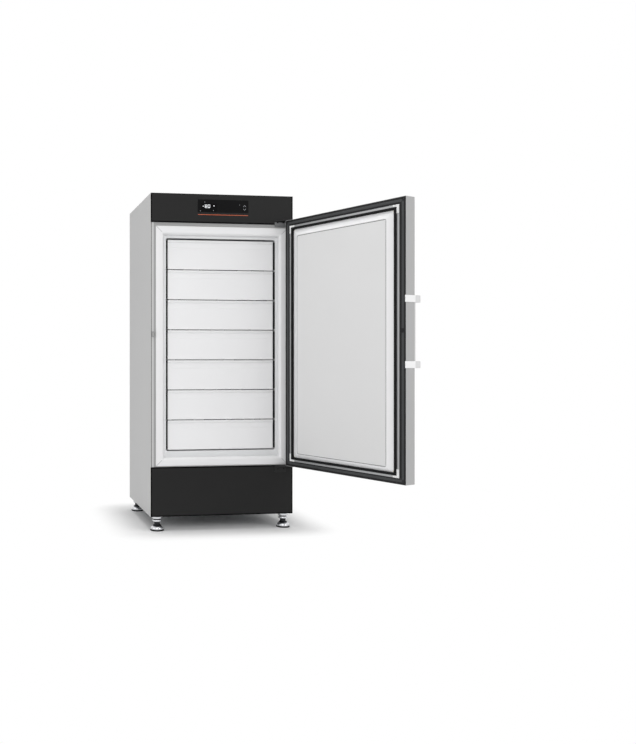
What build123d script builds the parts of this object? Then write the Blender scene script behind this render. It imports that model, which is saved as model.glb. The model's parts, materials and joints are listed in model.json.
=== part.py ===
from build123d import *
import os
from math import radians, sin, cos

# Ultra low temperature freezer, millimetres.
# Origin on the floor under the middle of the cabinet, front towards -Y, up is +Z.

# Cabinet
width = 838
depth = 684
foot_height = 82
body_height = 1840
sheet = 1.2
cover_depth = 6
flange_width = 18
bend_radius = 2
rear_return = 25

# Insulated box: distances are measured in from the cabinet's side, up from its base or down
# from its top
box_rise = 270
box_drop = 160
collar_side = 30
collar_rise = 287
collar_drop = 184
land_side = 70
land_rise = 329
land_drop = 220
throat_side = 79
throat_rise = 336
throat_drop = 229
throat_depth = 20
flange_depth = 34
chamber_side = 95
chamber_rise = 370
chamber_drop = 250
chamber_back_wall = 94
chamber_corner = 12
vacuum_panel = 25
vacuum_margin = 30
vacuum_half = 220
vacuum_setback = 90
coil_height = 14
coil_thickness = 6
coil_turns = 8
coil_margin = 50
coil_setback = 60

# Drawers
drawer_count = 7
drawer_rise = 7
drawer_headroom = 9.5
drawer_front_side_gap = 11
drawer_gap = 4
drawer_setback = 40
drawer_sheet = 1.2
drawer_body_side_gap = 24
drawer_body_rear_gap = 30
drawer_body_height = 120
drawer_floor_rise = 8
drawer_lip = 17
drawer_lip_proud = 2.5
drawer_hem = 5
rail_leg = 33
rail_sheet = 1.5
rail_rise = 30
rail_setback = 44
rail_rear_gap = 46
running_gap = 0.3

# Door
door_side_gap = 2
door_rise = 284
door_drop = 148
door_gap = 6
door_thickness = 62
door_sheet = 1.2
door_corner = 3
hinge_inset = 20
hinge_forward = 37
open_angle = 112
frame_thickness = 8
frame_side = 38
frame_top = 35.5
frame_bottom = 31
retainer_side = 15
retainer_level = 11
retainer_proud = 2.5
gasket_side = 14
gasket_level = 13
plateau_side = 38
plateau_top = 38
plateau_bottom = 22
plateau_proud = 16
liner_wall = 3

# Hinges
pin_diameter = 12
pin_length = 27
pin_clearance = 0.05
bush_diameter = 20
bush_flange_diameter = 28
bush_length = 26
leaf_thickness = 3
leaf_width = 67
leaf_inset = 42
tab_thickness = 4
tab_gap = 3

# Handle and lock
bracket_rise = 587.4
bracket_spacing = 321.8
bracket_height = 34
bracket_width = 39
bracket_reach = 42
bracket_corner = 9
cover_thickness = 5
backplate_thickness = 6.4
pivot_inset = 18
pivot_reach = 22
pivot_diameter = 8
lever_length = 60
lever_height = 12
lever_end = 18
bar_width = 24
bar_thickness = 16
bar_drop = 10
lock_rise = 754
lock_inset = 22
lock_diameter = 18
lock_length = 30
lock_proud = 2
bolt_inset = 16
bolt_diameter = 10
bolt_length = 32

# Feet
foot_inset_side = 44
foot_inset_end = 41
pad_diameter = 77
pad_rim = 6
pad_height = 24
neck_diameter = 27
neck_top = 47
nut_diameter = 57
stem_diameter = 16
stem_reach = 18

# Places that follow from these sizes
half = width / 2
front = -depth / 2
back = depth / 2
body_top = foot_height + body_height
frame_face = front + cover_depth
ring_back = frame_face + 2 * sheet
inner_half = half - sheet
nest_half = half - bend_radius
rear_half = inner_half - sheet
rear_inner = back - 2 * sheet

box_bottom = foot_height + box_rise
box_top = body_top - box_drop
collar_half = half - collar_side
collar_bottom = foot_height + collar_rise
collar_top = body_top - collar_drop
land_half = half - land_side
land_bottom = foot_height + land_rise
land_top = body_top - land_drop
throat_half = half - throat_side
throat_bottom = foot_height + throat_rise
throat_top = body_top - throat_drop
chamber_half = half - chamber_side
chamber_bottom = foot_height + chamber_rise
chamber_top = body_top - chamber_drop
liner_back = back - chamber_back_wall

drawer_bottom = chamber_bottom + drawer_rise
drawer_stack = chamber_top - drawer_headroom - drawer_bottom
drawer_front_height = (drawer_stack + drawer_gap) / drawer_count - drawer_gap
drawer_front_half = chamber_half - drawer_front_side_gap
drawer_body_half = chamber_half - drawer_body_side_gap
drawer_face = front + drawer_setback
drawer_body_depth = liner_back - drawer_body_rear_gap - drawer_face

door_bottom = foot_height + door_rise
door_top = body_top - door_drop
hinge_x = half - hinge_inset
hinge_y = front - hinge_forward
door_inner = front - door_gap
door_outer = door_inner - door_thickness
door_half = half - door_side_gap

os.makedirs("parts", exist_ok=True)


def facing(y):
    """Upright plane at depth y that faces the front; extruding it backwards takes a negative amount."""
    return Plane.XZ.offset(-y)


def spanning(low_x, high_x, low_y, high_y, radius=0, mode=Mode.ADD):
    """Rectangle in the current sketch between two pairs of edges, with rounded corners if asked."""
    with Locations(((low_x + high_x) / 2, (low_y + high_y) / 2)):
        if radius > 0:
            RectangleRounded(high_x - low_x, high_y - low_y, radius, mode=mode)
        else:
            Rectangle(high_x - low_x, high_y - low_y, mode=mode)


swing = Location((hinge_x, hinge_y, 0), (0, 0, open_angle)) * Location((-hinge_x, -hinge_y, 0))
door_normal = Axis((0, 0, 0), (-sin(radians(open_angle)), cos(radians(open_angle)), 0))


def on_door(y):
    """Plane parallel to the door. Its depth y and its own coordinates are those of the shut door."""
    return Plane(swing * facing(y).location)


def door_level(z):
    """Level plane at height z that turns with the door and keeps the shut door's coordinates."""
    return Plane(swing * Plane.XY.offset(z).location)


# Cabinet shell: two folded side panels, a rear panel with its grille, and a folded top
with BuildPart() as side_panels:
    with BuildSketch(Plane.XY.offset(foot_height)):
        with BuildLine():
            FilletPolyline(
                (-half + flange_width, frame_face),
                (-half, frame_face),
                (-half, back),
                (-half + rear_return, back),
                radius=bend_radius,
            )
            offset(amount=sheet, side=Side.RIGHT)
        make_face()
    extrude(amount=body_height)
    mirror(about=Plane.YZ)
side_panels.part.label = "side_panels"
export_step(side_panels.part, "parts/side_panels.step")

grille_side = 119
grille_half = half - grille_side
grille_rise = 22
grille_height = 232
grille_bottom = foot_height + grille_rise
grille_top = grille_bottom + grille_height
grille_margin = 16
grille_corner = 4
slot_width = 60
slot_height = 6
slot_columns = 8
slot_rows = 12
port_inset = 149
port_x = -half + port_inset
coil_first = chamber_bottom + coil_margin
coil_last = chamber_top - coil_margin - coil_height
coil_pitch = (coil_last - coil_first) / (coil_turns - 1)
port_z = coil_last - coil_pitch / 2 + coil_height / 2
sleeve_diameter = 30
port_diameter = 24
gland_inset = 69
gland_rise = 68
gland_x = half - gland_inset
gland_z = foot_height + gland_rise
gland_diameter = 20
with BuildPart() as rear_panel:
    with BuildSketch(facing(rear_inner)):
        spanning(-rear_half, rear_half, foot_height, body_top)
    extrude(amount=-sheet)
    with BuildSketch(facing(rear_inner)):
        spanning(-grille_half, grille_half, grille_bottom, grille_top)
        with Locations((port_x, port_z)):
            Circle(sleeve_diameter / 2)
        with Locations((gland_x, gland_z)):
            Circle(gland_diameter / 2)
    extrude(amount=-sheet, mode=Mode.SUBTRACT)
rear_panel.part.label = "rear_panel"
export_step(rear_panel.part, "parts/rear_panel.step")

with BuildPart() as rear_grille:
    with BuildSketch(facing(back - sheet)):
        spanning(
            -grille_half - grille_margin,
            grille_half + grille_margin,
            grille_bottom - grille_margin / 2,
            grille_top + grille_margin / 2,
            grille_corner,
        )
        with Locations((0, (grille_bottom + grille_top) / 2)):
            with GridLocations(1.2 * slot_width, 3 * slot_height, slot_columns, slot_rows):
                SlotOverall(slot_width, slot_height, mode=Mode.SUBTRACT)
    extrude(amount=-sheet)
rear_grille.part.label = "rear_grille"
export_step(rear_grille.part, "parts/rear_grille.step")

top_skirt = 22
with BuildPart() as top_panel:
    with BuildSketch(facing(ring_back)):
        with BuildLine():
            FilletPolyline(
                (-inner_half, body_top - top_skirt),
                (-inner_half, body_top),
                (inner_half, body_top),
                (inner_half, body_top - top_skirt),
                radius=bend_radius,
            )
            offset(amount=sheet, side=Side.RIGHT)
        make_face()
    extrude(amount=-(rear_inner - ring_back))
top_panel.part.label = "top_panel"
export_step(top_panel.part, "parts/top_panel.step")

# Grey steel ring behind the side flanges, round the breaker collar
with BuildPart() as front_frame:
    with BuildSketch(facing(frame_face + sheet)):
        spanning(-nest_half, nest_half, box_bottom, box_top)
        spanning(-collar_half, collar_half, collar_bottom, collar_top, mode=Mode.SUBTRACT)
    extrude(amount=-sheet)
front_frame.part.label = "front_frame"
export_step(front_frame.part, "parts/front_frame.step")

# White collar that the door gasket closes on: a flat land, then a mitred slope into the throat
with BuildPart() as breaker_collar:
    with BuildSketch(facing(front + flange_depth)):
        spanning(-collar_half, collar_half, collar_bottom, collar_top)
    extrude(amount=flange_depth - cover_depth)
    with BuildSketch(facing(front + flange_depth)):
        spanning(-throat_half, throat_half, throat_bottom, throat_top)
    extrude(amount=flange_depth - cover_depth, mode=Mode.SUBTRACT)
    with BuildSketch(facing(frame_face)):
        spanning(-land_half, land_half, land_bottom, land_top)
    with BuildSketch(facing(front + throat_depth)):
        spanning(-throat_half, throat_half, throat_bottom, throat_top)
    loft(mode=Mode.SUBTRACT)
breaker_collar.part.label = "breaker_collar"
export_step(breaker_collar.part, "parts/breaker_collar.step")

# Chamber liner: a deep box with rounded edges and a flange that the collar clamps
liner_tuck = 20
liner_flange = (
    -throat_half - liner_tuck,
    throat_half + liner_tuck,
    throat_bottom - liner_tuck,
    throat_top + liner_tuck,
)
with BuildPart() as inner_liner:
    with BuildSketch(facing(front + flange_depth)):
        spanning(*liner_flange)
    extrude(amount=-sheet)
    with BuildSketch(facing(front + flange_depth)):
        spanning(
            -chamber_half - sheet,
            chamber_half + sheet,
            chamber_bottom - sheet,
            chamber_top + sheet,
            chamber_corner + sheet,
        )
    extrude(amount=-(liner_back + sheet - front - flange_depth))
    with BuildSketch(facing(front + flange_depth)):
        spanning(-chamber_half, chamber_half, chamber_bottom, chamber_top, chamber_corner)
    extrude(amount=-(liner_back - front - flange_depth), mode=Mode.SUBTRACT)
    with BuildSketch(facing(liner_back)):
        with Locations((port_x, port_z)):
            Circle(sleeve_diameter / 2)
    extrude(amount=-sheet, mode=Mode.SUBTRACT)
inner_liner.part.label = "inner_liner"
export_step(inner_liner.part, "parts/inner_liner.step")

# Evaporator: flattened copper tube wound round the liner, joined by a riser at the back
coil_front = front + coil_setback
coil_half = chamber_half + sheet + coil_thickness
coil_back = liner_back + sheet
with BuildPart() as evaporator_coil:
    with BuildSketch(Plane.XY.offset(coil_first)):
        spanning(-coil_half, coil_half, coil_front, coil_back + coil_thickness)
        spanning(
            -coil_half + coil_thickness,
            coil_half - coil_thickness,
            coil_front,
            coil_back,
            mode=Mode.SUBTRACT,
        )
    turn = extrude(amount=coil_height)
    with Locations([(0, 0, coil_pitch * number) for number in range(1, coil_turns)]):
        add(turn)
    with BuildSketch(Plane.XY.offset(coil_first)):
        spanning(-coil_height / 2, coil_height / 2, coil_back, coil_back + coil_thickness)
    extrude(amount=coil_pitch * (coil_turns - 1) + coil_height)
evaporator_coil.part.label = "evaporator_coil"
export_step(evaporator_coil.part, "parts/evaporator_coil.step")

# Vacuum panels against the shell on four sides of the box, the rest is foamed round them
vacuum_low = chamber_bottom + vacuum_margin
vacuum_high = chamber_top - vacuum_margin
vacuum_front = front + vacuum_setback
vacuum_back = liner_back - vacuum_margin
with BuildPart() as vacuum_panels:
    with BuildSketch(Plane.XY.offset(vacuum_low)):
        spanning(-inner_half, -inner_half + vacuum_panel, vacuum_front, vacuum_back)
        spanning(inner_half - vacuum_panel, inner_half, vacuum_front, vacuum_back)
        spanning(-vacuum_half, vacuum_half, rear_inner - vacuum_panel, rear_inner)
    extrude(amount=vacuum_high - vacuum_low)
    with BuildSketch(Plane.XY.offset(box_top)):
        spanning(-vacuum_half, vacuum_half, vacuum_front, vacuum_back)
    extrude(amount=-vacuum_panel)
    with BuildSketch(Plane.XY.offset(box_bottom)):
        spanning(-vacuum_half, vacuum_half, vacuum_front, vacuum_back)
    extrude(amount=vacuum_panel)
vacuum_panels.part.label = "vacuum_panels"
export_step(vacuum_panels.part, "parts/vacuum_panels.step")

with BuildPart() as insulation_foam:
    with BuildSketch(Plane.XY.offset(box_bottom)):
        spanning(-inner_half, inner_half, ring_back, rear_inner)
    extrude(amount=box_top - box_bottom)
    with BuildSketch(facing(ring_back)):
        spanning(-collar_half, collar_half, collar_bottom, collar_top)
    extrude(amount=-(front + flange_depth - ring_back), mode=Mode.SUBTRACT)
    with BuildSketch(facing(front + flange_depth)):
        spanning(*liner_flange)
    extrude(amount=-sheet, mode=Mode.SUBTRACT)
    with BuildSketch(facing(front + flange_depth)):
        spanning(
            -chamber_half - sheet,
            chamber_half + sheet,
            chamber_bottom - sheet,
            chamber_top + sheet,
            chamber_corner + sheet,
        )
    extrude(amount=-(liner_back + sheet - front - flange_depth), mode=Mode.SUBTRACT)
    with BuildSketch(facing(liner_back)):
        with Locations((port_x, port_z)):
            Circle(sleeve_diameter / 2)
    extrude(amount=-(rear_inner - liner_back), mode=Mode.SUBTRACT)
    add(evaporator_coil.part, mode=Mode.SUBTRACT)
    add(vacuum_panels.part, mode=Mode.SUBTRACT)
insulation_foam.part.label = "insulation_foam"
export_step(insulation_foam.part, "parts/insulation_foam.step")

with BuildPart() as bulkheads:
    with BuildSketch(Plane.XY.offset(box_top)):
        spanning(-inner_half, inner_half, ring_back, rear_inner)
    extrude(amount=sheet)
    with BuildSketch(Plane.XY.offset(box_bottom)):
        spanning(-inner_half, inner_half, ring_back, rear_inner)
    extrude(amount=-sheet)
bulkheads.part.label = "bulkheads"
export_step(bulkheads.part, "parts/bulkheads.step")

# Rear access port: a plastic sleeve through the wall with a soft plug pushed into it
sleeve_lip = 3
plug_head = 8
plug_edge = 2
with BuildPart() as access_sleeve:
    with BuildSketch(facing(liner_back)):
        with Locations((port_x, port_z)):
            Circle(sleeve_diameter / 2)
    extrude(amount=-(back - liner_back + sleeve_lip))
    with BuildSketch(facing(back - sheet)):
        with Locations((port_x, port_z)):
            Circle(sleeve_diameter / 2 + sleeve_lip)
    extrude(amount=-(sheet + sleeve_lip))
    with BuildSketch(facing(liner_back)):
        with Locations((port_x, port_z)):
            Circle(port_diameter / 2)
    extrude(amount=-(back - liner_back + sleeve_lip), mode=Mode.SUBTRACT)
access_sleeve.part.label = "access_sleeve"
export_step(access_sleeve.part, "parts/access_sleeve.step")

with BuildPart() as port_plug:
    with BuildSketch(facing(liner_back)):
        with Locations((port_x, port_z)):
            Circle(port_diameter / 2)
    extrude(amount=-(back - liner_back + sleeve_lip))
    with BuildSketch(facing(back + sleeve_lip)):
        with Locations((port_x, port_z)):
            Circle(sleeve_diameter / 2)
    extrude(amount=-plug_head)
    fillet(port_plug.faces().sort_by(Axis.Y)[-1].edges(), radius=plug_edge)
port_plug.part.label = "port_plug"
export_step(port_plug.part, "parts/port_plug.step")

probe_diameter = 6
probe_length = 50
probe_side = 124
probe_drop = 22
probe_x = chamber_half - probe_side
probe_z = chamber_top - probe_drop
with BuildPart() as chamber_probe:
    with BuildSketch(facing(liner_back)):
        with Locations((probe_x, probe_z)):
            Circle(probe_diameter / 2)
    extrude(amount=probe_length)
    with BuildSketch(facing(liner_back)):
        with Locations((probe_x, probe_z)):
            Circle(probe_diameter)
    extrude(amount=probe_diameter)
    fillet(chamber_probe.faces().sort_by(Axis.Y)[0].edges(), radius=probe_diameter / 3)
chamber_probe.part.label = "chamber_probe"
export_step(chamber_probe.part, "parts/chamber_probe.step")

# Drawers and their angle rails
drawer_pitch = drawer_front_height + drawer_gap
drawer_floors = [drawer_bottom + drawer_floor_rise + drawer_pitch * row for row in range(drawer_count)]
with BuildPart() as drawer_rails:
    for floor in drawer_floors:
        with BuildSketch(facing(front + rail_setback)):
            shelf = floor - running_gap - rail_sheet
            spanning(-chamber_half, -chamber_half + rail_leg, shelf, shelf + rail_sheet)
            spanning(-chamber_half, -chamber_half + rail_sheet, shelf, shelf + rail_rise)
        extrude(amount=-(liner_back - rail_rear_gap - front - rail_setback))
    mirror(about=Plane.YZ)
drawer_rails.part.label = "drawer_rails"
export_step(drawer_rails.part, "parts/drawer_rails.step")

for row, floor in enumerate(drawer_floors):
    bottom = floor - drawer_floor_rise
    top = bottom + drawer_front_height
    face = drawer_face
    with BuildPart() as drawer:
        with BuildSketch(Plane.XY.offset(floor)):
            spanning(
                -drawer_body_half,
                drawer_body_half,
                face + drawer_sheet,
                face + drawer_body_depth,
            )
        extrude(amount=drawer_body_height)
        with BuildSketch(Plane.XY.offset(floor + drawer_sheet)):
            spanning(
                -drawer_body_half + drawer_sheet,
                drawer_body_half - drawer_sheet,
                face + drawer_sheet,
                face + drawer_body_depth - drawer_sheet,
            )
        extrude(amount=drawer_body_height, mode=Mode.SUBTRACT)
        with BuildSketch(Plane.YZ.offset(-drawer_front_half)):
            with BuildLine():
                Polyline(
                    (face + drawer_sheet, bottom),
                    (face - drawer_sheet, bottom),
                    (face - drawer_sheet, bottom + drawer_hem),
                    (face, bottom + drawer_hem),
                    (face, top - drawer_lip),
                    (face - drawer_lip_proud, top - drawer_lip + drawer_lip_proud),
                    (face - drawer_lip_proud, top),
                    (face + drawer_sheet, top),
                    close=True,
                )
            make_face()
        extrude(amount=2 * drawer_front_half)
    name = f"drawer_{row + 1}"
    drawer.part.label = name
    export_step(drawer.part, f"parts/{name}.step")

# Feet: a domed pad and stem, and a round lock nut under the base
foot_places = [
    (side * (half - foot_inset_side), end * (depth / 2 - foot_inset_end))
    for side in (-1, 1)
    for end in (-1, 1)
]
stem_top = foot_height + stem_reach
with BuildPart() as foot:
    with BuildSketch(Plane.XZ):
        with BuildLine():
            rim = Polyline((0, stem_top), (0, 0), (pad_diameter / 2, 0), (pad_diameter / 2, pad_rim))
            dome = ThreePointArc(
                rim @ 1,
                (0.42 * pad_diameter, 0.62 * pad_height),
                (neck_diameter / 2, pad_height),
            )
            Polyline(
                dome @ 1,
                (neck_diameter / 2, neck_top),
                (stem_diameter / 2, neck_top),
                (stem_diameter / 2, stem_top),
                (0, stem_top),
            )
        make_face()
    revolve(axis=Axis.Z)
with BuildPart() as levelling_feet:
    with Locations(*foot_places):
        add(foot.part)
levelling_feet.part.label = "levelling_feet"
export_step(levelling_feet.part, "parts/levelling_feet.step")

nut_edge = 2
with BuildPart() as foot_nuts:
    with BuildSketch(Plane.XY.offset(neck_top)):
        with Locations(*foot_places):
            Circle(nut_diameter / 2)
            Circle(stem_diameter / 2, mode=Mode.SUBTRACT)
    extrude(amount=foot_height - neck_top)
    rims = foot_nuts.edges().filter_by(GeomType.CIRCLE).filter_by(lambda e: e.radius > stem_diameter)
    chamfer(rims, length=nut_edge)
foot_nuts.part.label = "foot_nuts"
export_step(foot_nuts.part, "parts/foot_nuts.step")

tray_sheet = 2
tray_lip = 16
tray_bend = 3
with BuildPart() as base_tray:
    with BuildSketch(Plane.YZ.offset(-inner_half)):
        with BuildLine():
            FilletPolyline(
                (ring_back, foot_height + tray_lip),
                (ring_back, foot_height),
                (rear_inner, foot_height),
                (rear_inner, foot_height + tray_lip),
                radius=tray_bend,
            )
            offset(amount=tray_sheet, side=Side.LEFT)
        make_face()
    extrude(amount=2 * inner_half)
    with BuildSketch(Plane.XY.offset(foot_height)):
        with Locations(*foot_places):
            Circle(stem_diameter / 2)
    extrude(amount=tray_sheet, mode=Mode.SUBTRACT)
base_tray.part.label = "base_tray"
export_step(base_tray.part, "parts/base_tray.step")

# Kickplate and fascia: shallow folded covers that stand in front of the side flanges
kick_rise = 2
kick_height = 281
kick_bottom = foot_height + kick_rise
kick_top = kick_bottom + kick_height
cover_edge = 1.5
with BuildPart() as kickplate:
    with BuildSketch(facing(frame_face)):
        spanning(-half, half, kick_bottom, kick_top)
    extrude(amount=cover_depth)
    chamfer(kickplate.faces().sort_by(Axis.Y)[0].edges(), length=cover_edge)
    with BuildSketch(facing(frame_face)):
        spanning(-half + sheet, half - sheet, kick_bottom + sheet, kick_top - sheet)
    extrude(amount=cover_depth - sheet, mode=Mode.SUBTRACT)
kickplate.part.label = "kickplate"
export_step(kickplate.part, "parts/kickplate.step")

fascia_height = 165
fascia_corner = 6
fascia_bottom = body_top - fascia_height
glass_width = 300
glass_height = 73.9
glass_drop = 30.7
glass_shift = 3
glass_thickness = 3
glass_inset = 0.3
strip_height = 10.3
strip_gap = 7.5
glass_left = glass_shift - glass_width / 2
glass_right = glass_shift + glass_width / 2
glass_top = body_top - glass_drop
glass_bottom = glass_top - glass_height
strip_top = glass_bottom - strip_gap
strip_bottom = strip_top - strip_height
with BuildPart() as fascia:
    with BuildSketch(facing(frame_face)):
        spanning(-half, half, fascia_bottom, body_top)
    extrude(amount=cover_depth)
    chamfer(fascia.edges().filter_by(Axis.Y).group_by(Axis.Z)[-1], length=fascia_corner)
    chamfer(fascia.faces().sort_by(Axis.Y)[0].edges(), length=cover_edge)
    with BuildSketch(facing(frame_face)):
        spanning(
            -half + fascia_corner,
            half - fascia_corner,
            fascia_bottom + sheet,
            body_top - fascia_corner,
        )
    extrude(amount=cover_depth - sheet, mode=Mode.SUBTRACT)
    with BuildSketch(facing(frame_face)):
        spanning(glass_left, glass_right, glass_bottom, glass_top)
        spanning(glass_left, glass_right, strip_bottom, strip_top)
    extrude(amount=cover_depth, mode=Mode.SUBTRACT)
fascia.part.label = "fascia"
export_step(fascia.part, "parts/fascia.step")

glass_face = front + glass_inset
glass_back = glass_face + glass_thickness
with BuildPart() as display_glass:
    with BuildSketch(facing(glass_back)):
        spanning(glass_left, glass_right, glass_bottom, glass_top)
    extrude(amount=glass_thickness)
display_glass.part.label = "display_glass"
export_step(display_glass.part, "parts/display_glass.step")

with BuildPart() as accent_strip:
    with BuildSketch(facing(glass_back)):
        spanning(glass_left, glass_right, strip_bottom, strip_top)
    extrude(amount=glass_thickness)
accent_strip.part.label = "accent_strip"
export_step(accent_strip.part, "parts/accent_strip.step")

carrier_margin = 9
carrier_clearance = 0.2
carrier_back = frame_face - carrier_clearance
module_depth = 14
with BuildPart() as display_module:
    with BuildSketch(facing(carrier_back)):
        spanning(
            glass_left - carrier_margin,
            glass_right + carrier_margin,
            strip_bottom - carrier_margin,
            glass_top + carrier_margin,
        )
    extrude(amount=carrier_back - front - sheet)
    with BuildSketch(facing(glass_back)):
        spanning(glass_left, glass_right, glass_bottom, glass_top)
        spanning(glass_left, glass_right, strip_bottom, strip_top)
    extrude(amount=glass_thickness, mode=Mode.SUBTRACT)
    with BuildSketch(facing(carrier_back)):
        spanning(glass_left, glass_right, glass_bottom, glass_top)
    extrude(amount=-module_depth)
display_module.part.label = "display_module"
export_step(display_module.part, "parts/display_module.step")

# Upper compartment: the control box and its board
control_width = 320
control_depth = 300
control_height = 110
control_side = 59
control_setback = 90
box_right = half - control_side
box_left = box_right - control_width
box_front = front + control_setback
box_rear = box_front + control_depth
board_thickness = 1.6
compartment_floor = box_top + sheet
with BuildPart() as control_box:
    with BuildSketch(Plane.XY.offset(compartment_floor)):
        spanning(box_left, box_right, box_front, box_rear)
    extrude(amount=control_height)
    offset(amount=-sheet, openings=control_box.faces().sort_by(Axis.Z)[-1])
control_box.part.label = "control_box"
export_step(control_box.part, "parts/control_box.step")

board_height = 12
board_margin = 15
board_post_inset = 25
board_post_radius = 4
relay_size = 28
relay_count = 6
relay_inset = 60
power_supply_size = 84
power_supply_inset = 90
box_middle = (box_left + box_right) / 2
with BuildPart() as control_board:
    with BuildSketch(Plane.XY.offset(compartment_floor + board_height)):
        spanning(
            box_left + board_margin,
            box_right - board_margin,
            box_front + board_margin,
            box_rear - board_margin,
        )
    extrude(amount=board_thickness)
    with BuildSketch(Plane.XY.offset(compartment_floor + board_height + board_thickness)):
        with Locations((box_middle, box_rear - relay_inset)):
            with GridLocations(1.5 * relay_size, 0, relay_count, 1):
                Rectangle(relay_size, relay_size)
        with Locations((box_middle, box_front + power_supply_inset)):
            Rectangle(power_supply_size, power_supply_size)
    extrude(amount=relay_size)
    with BuildSketch(Plane.XY.offset(compartment_floor + sheet)):
        with Locations((box_middle, (box_front + box_rear) / 2)):
            with GridLocations(
                control_width - 2 * board_post_inset,
                control_depth - 2 * board_post_inset,
                2,
                2,
            ):
                Circle(board_post_radius)
    extrude(amount=board_height - sheet)
control_board.part.label = "control_board"
export_step(control_board.part, "parts/control_board.step")

# Machine compartment: two hermetic compressors on rubber mounts
deck = foot_height + tray_sheet
compressor_diameter = 210
compressor_height = 205
compressor_spacing = 295
compressor_side = 184
compressor_setback = 202
compressor_x = -half + compressor_side
compressor_y = front + compressor_setback
compressor_places = [(compressor_x, compressor_y), (compressor_x + compressor_spacing, compressor_y)]
mount_height = 20
mount_radius = 13
mount_inset = 18
plate_length = 240
plate_width = 190
plate_corner = 15
plate_thickness = 4
shell_bottom = deck + mount_height + plate_thickness
dome_radius = 70
with BuildPart() as compressors:
    for place in compressor_places:
        with BuildSketch(Plane.XY.offset(deck + mount_height)):
            with Locations(place):
                RectangleRounded(plate_length, plate_width, plate_corner)
        extrude(amount=plate_thickness)
    with BuildSketch(Plane.XY.offset(shell_bottom)):
        with Locations(*compressor_places):
            Circle(compressor_diameter / 2)
    extrude(amount=compressor_height)
    domes = compressors.faces().filter_by(Plane.XY).group_by(Axis.Z)[-1].edges()
    fillet(domes, radius=dome_radius)
compressors.part.label = "compressors"
export_step(compressors.part, "parts/compressors.step")

with BuildPart() as compressor_mounts:
    with BuildSketch(Plane.XY.offset(deck)):
        with Locations(*compressor_places):
            with GridLocations(plate_length - 2 * mount_inset, plate_width - 2 * mount_inset, 2, 2):
                Circle(mount_radius)
    extrude(amount=mount_height)
compressor_mounts.part.label = "compressor_mounts"
export_step(compressor_mounts.part, "parts/compressor_mounts.step")

separator_side = 89
separator_inset = 282
separator_radius = 42
separator_height = 190
drier_side = 169
drier_inset = 212
drier_radius = 26
drier_height = 150
vessel_dome = 20
separator_place = (-half + separator_side, back - separator_inset)
drier_place = (half - drier_side, back - drier_inset)
with BuildPart() as line_vessels:
    with BuildSketch(Plane.XY.offset(deck)):
        with Locations(separator_place):
            Circle(separator_radius)
    extrude(amount=separator_height)
    with BuildSketch(Plane.XY.offset(deck)):
        with Locations(drier_place):
            Circle(drier_radius)
    extrude(amount=drier_height)
    fillet(line_vessels.faces().filter_by(Plane.XY).group_by(Axis.Z)[-1].edges(), radius=vessel_dome)
line_vessels.part.label = "line_vessels"
export_step(line_vessels.part, "parts/line_vessels.step")

exchanger_side = 119
exchanger_setback = 222
exchanger_place = (half - exchanger_side, front + exchanger_setback)
exchanger_width = 130
exchanger_depth = 150
exchanger_height = 230
exchanger_corner = 12
with BuildPart() as cascade_exchanger:
    with BuildSketch(Plane.XY.offset(deck)):
        with Locations(exchanger_place):
            RectangleRounded(exchanger_width, exchanger_depth, exchanger_corner)
    extrude(amount=exchanger_height)
cascade_exchanger.part.label = "cascade_exchanger"
export_step(cascade_exchanger.part, "parts/cascade_exchanger.step")

# Copper lines that rise from one vessel, run level under the box and drop on the next
pipe_radius = 5
pipe_bend = 12
pipe_headroom = 18.8
pipe_level = box_bottom - sheet - pipe_headroom
outlet_shift = 30
shell_top = shell_bottom + compressor_height
exchanger_top = deck + exchanger_height
exchanger_inlet = (exchanger_place[0], exchanger_place[1] - outlet_shift)
exchanger_outlet = (exchanger_place[0], exchanger_place[1] + outlet_shift)
with BuildPart() as refrigerant_pipes:
    for start, start_level, stop, stop_level in (
        (compressor_places[0], shell_top, separator_place, deck + separator_height),
        (compressor_places[1], shell_top, exchanger_inlet, exchanger_top),
        (exchanger_outlet, exchanger_top, drier_place, deck + drier_height),
    ):
        with BuildLine() as run:
            FilletPolyline(
                (*start, start_level),
                (*start, pipe_level),
                (*stop, pipe_level),
                (*stop, stop_level),
                radius=pipe_bend,
            )
        with BuildSketch(Plane.XY.offset(start_level)):
            with Locations(start):
                Circle(pipe_radius)
        sweep(path=run.line)
refrigerant_pipes.part.label = "refrigerant_pipes"
export_step(refrigerant_pipes.part, "parts/refrigerant_pipes.step")

# Condenser behind the rear grille, with its fan drawing air through the fins
condenser_half = 170
condenser_depth = 58
condenser_clearance = 22
condenser_height = 256
condenser_back = back - condenser_clearance
condenser_front = condenser_back - condenser_depth
condenser_low = deck
condenser_high = deck + condenser_height
fan_rise = 131
fan_z = deck + fan_rise
fin_count = 22
fin_thickness = 1
fin_margin = 12
end_plate = 2
tube_radius = 5
tube_spacing = 28
tube_rise = 50
with BuildPart() as condenser:
    with BuildSketch(facing(condenser_back)):
        with Locations((0, (condenser_low + condenser_high) / 2)):
            with GridLocations(2 * condenser_half / (fin_count + 1), 0, fin_count, 1):
                Rectangle(fin_thickness, condenser_height - 2 * fin_margin)
    extrude(amount=condenser_depth)
    with BuildSketch(facing(condenser_back)):
        spanning(-condenser_half, -condenser_half + end_plate, condenser_low, condenser_high)
        spanning(condenser_half - end_plate, condenser_half, condenser_low, condenser_high)
    extrude(amount=condenser_depth)
    with BuildSketch(Plane.YZ.offset(-condenser_half)):
        with Locations(((condenser_front + condenser_back) / 2, fan_z)):
            with GridLocations(tube_spacing, tube_rise, 2, 5):
                Circle(tube_radius)
    extrude(amount=2 * condenser_half)
condenser.part.label = "condenser"
export_step(condenser.part, "parts/condenser.step")

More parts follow.
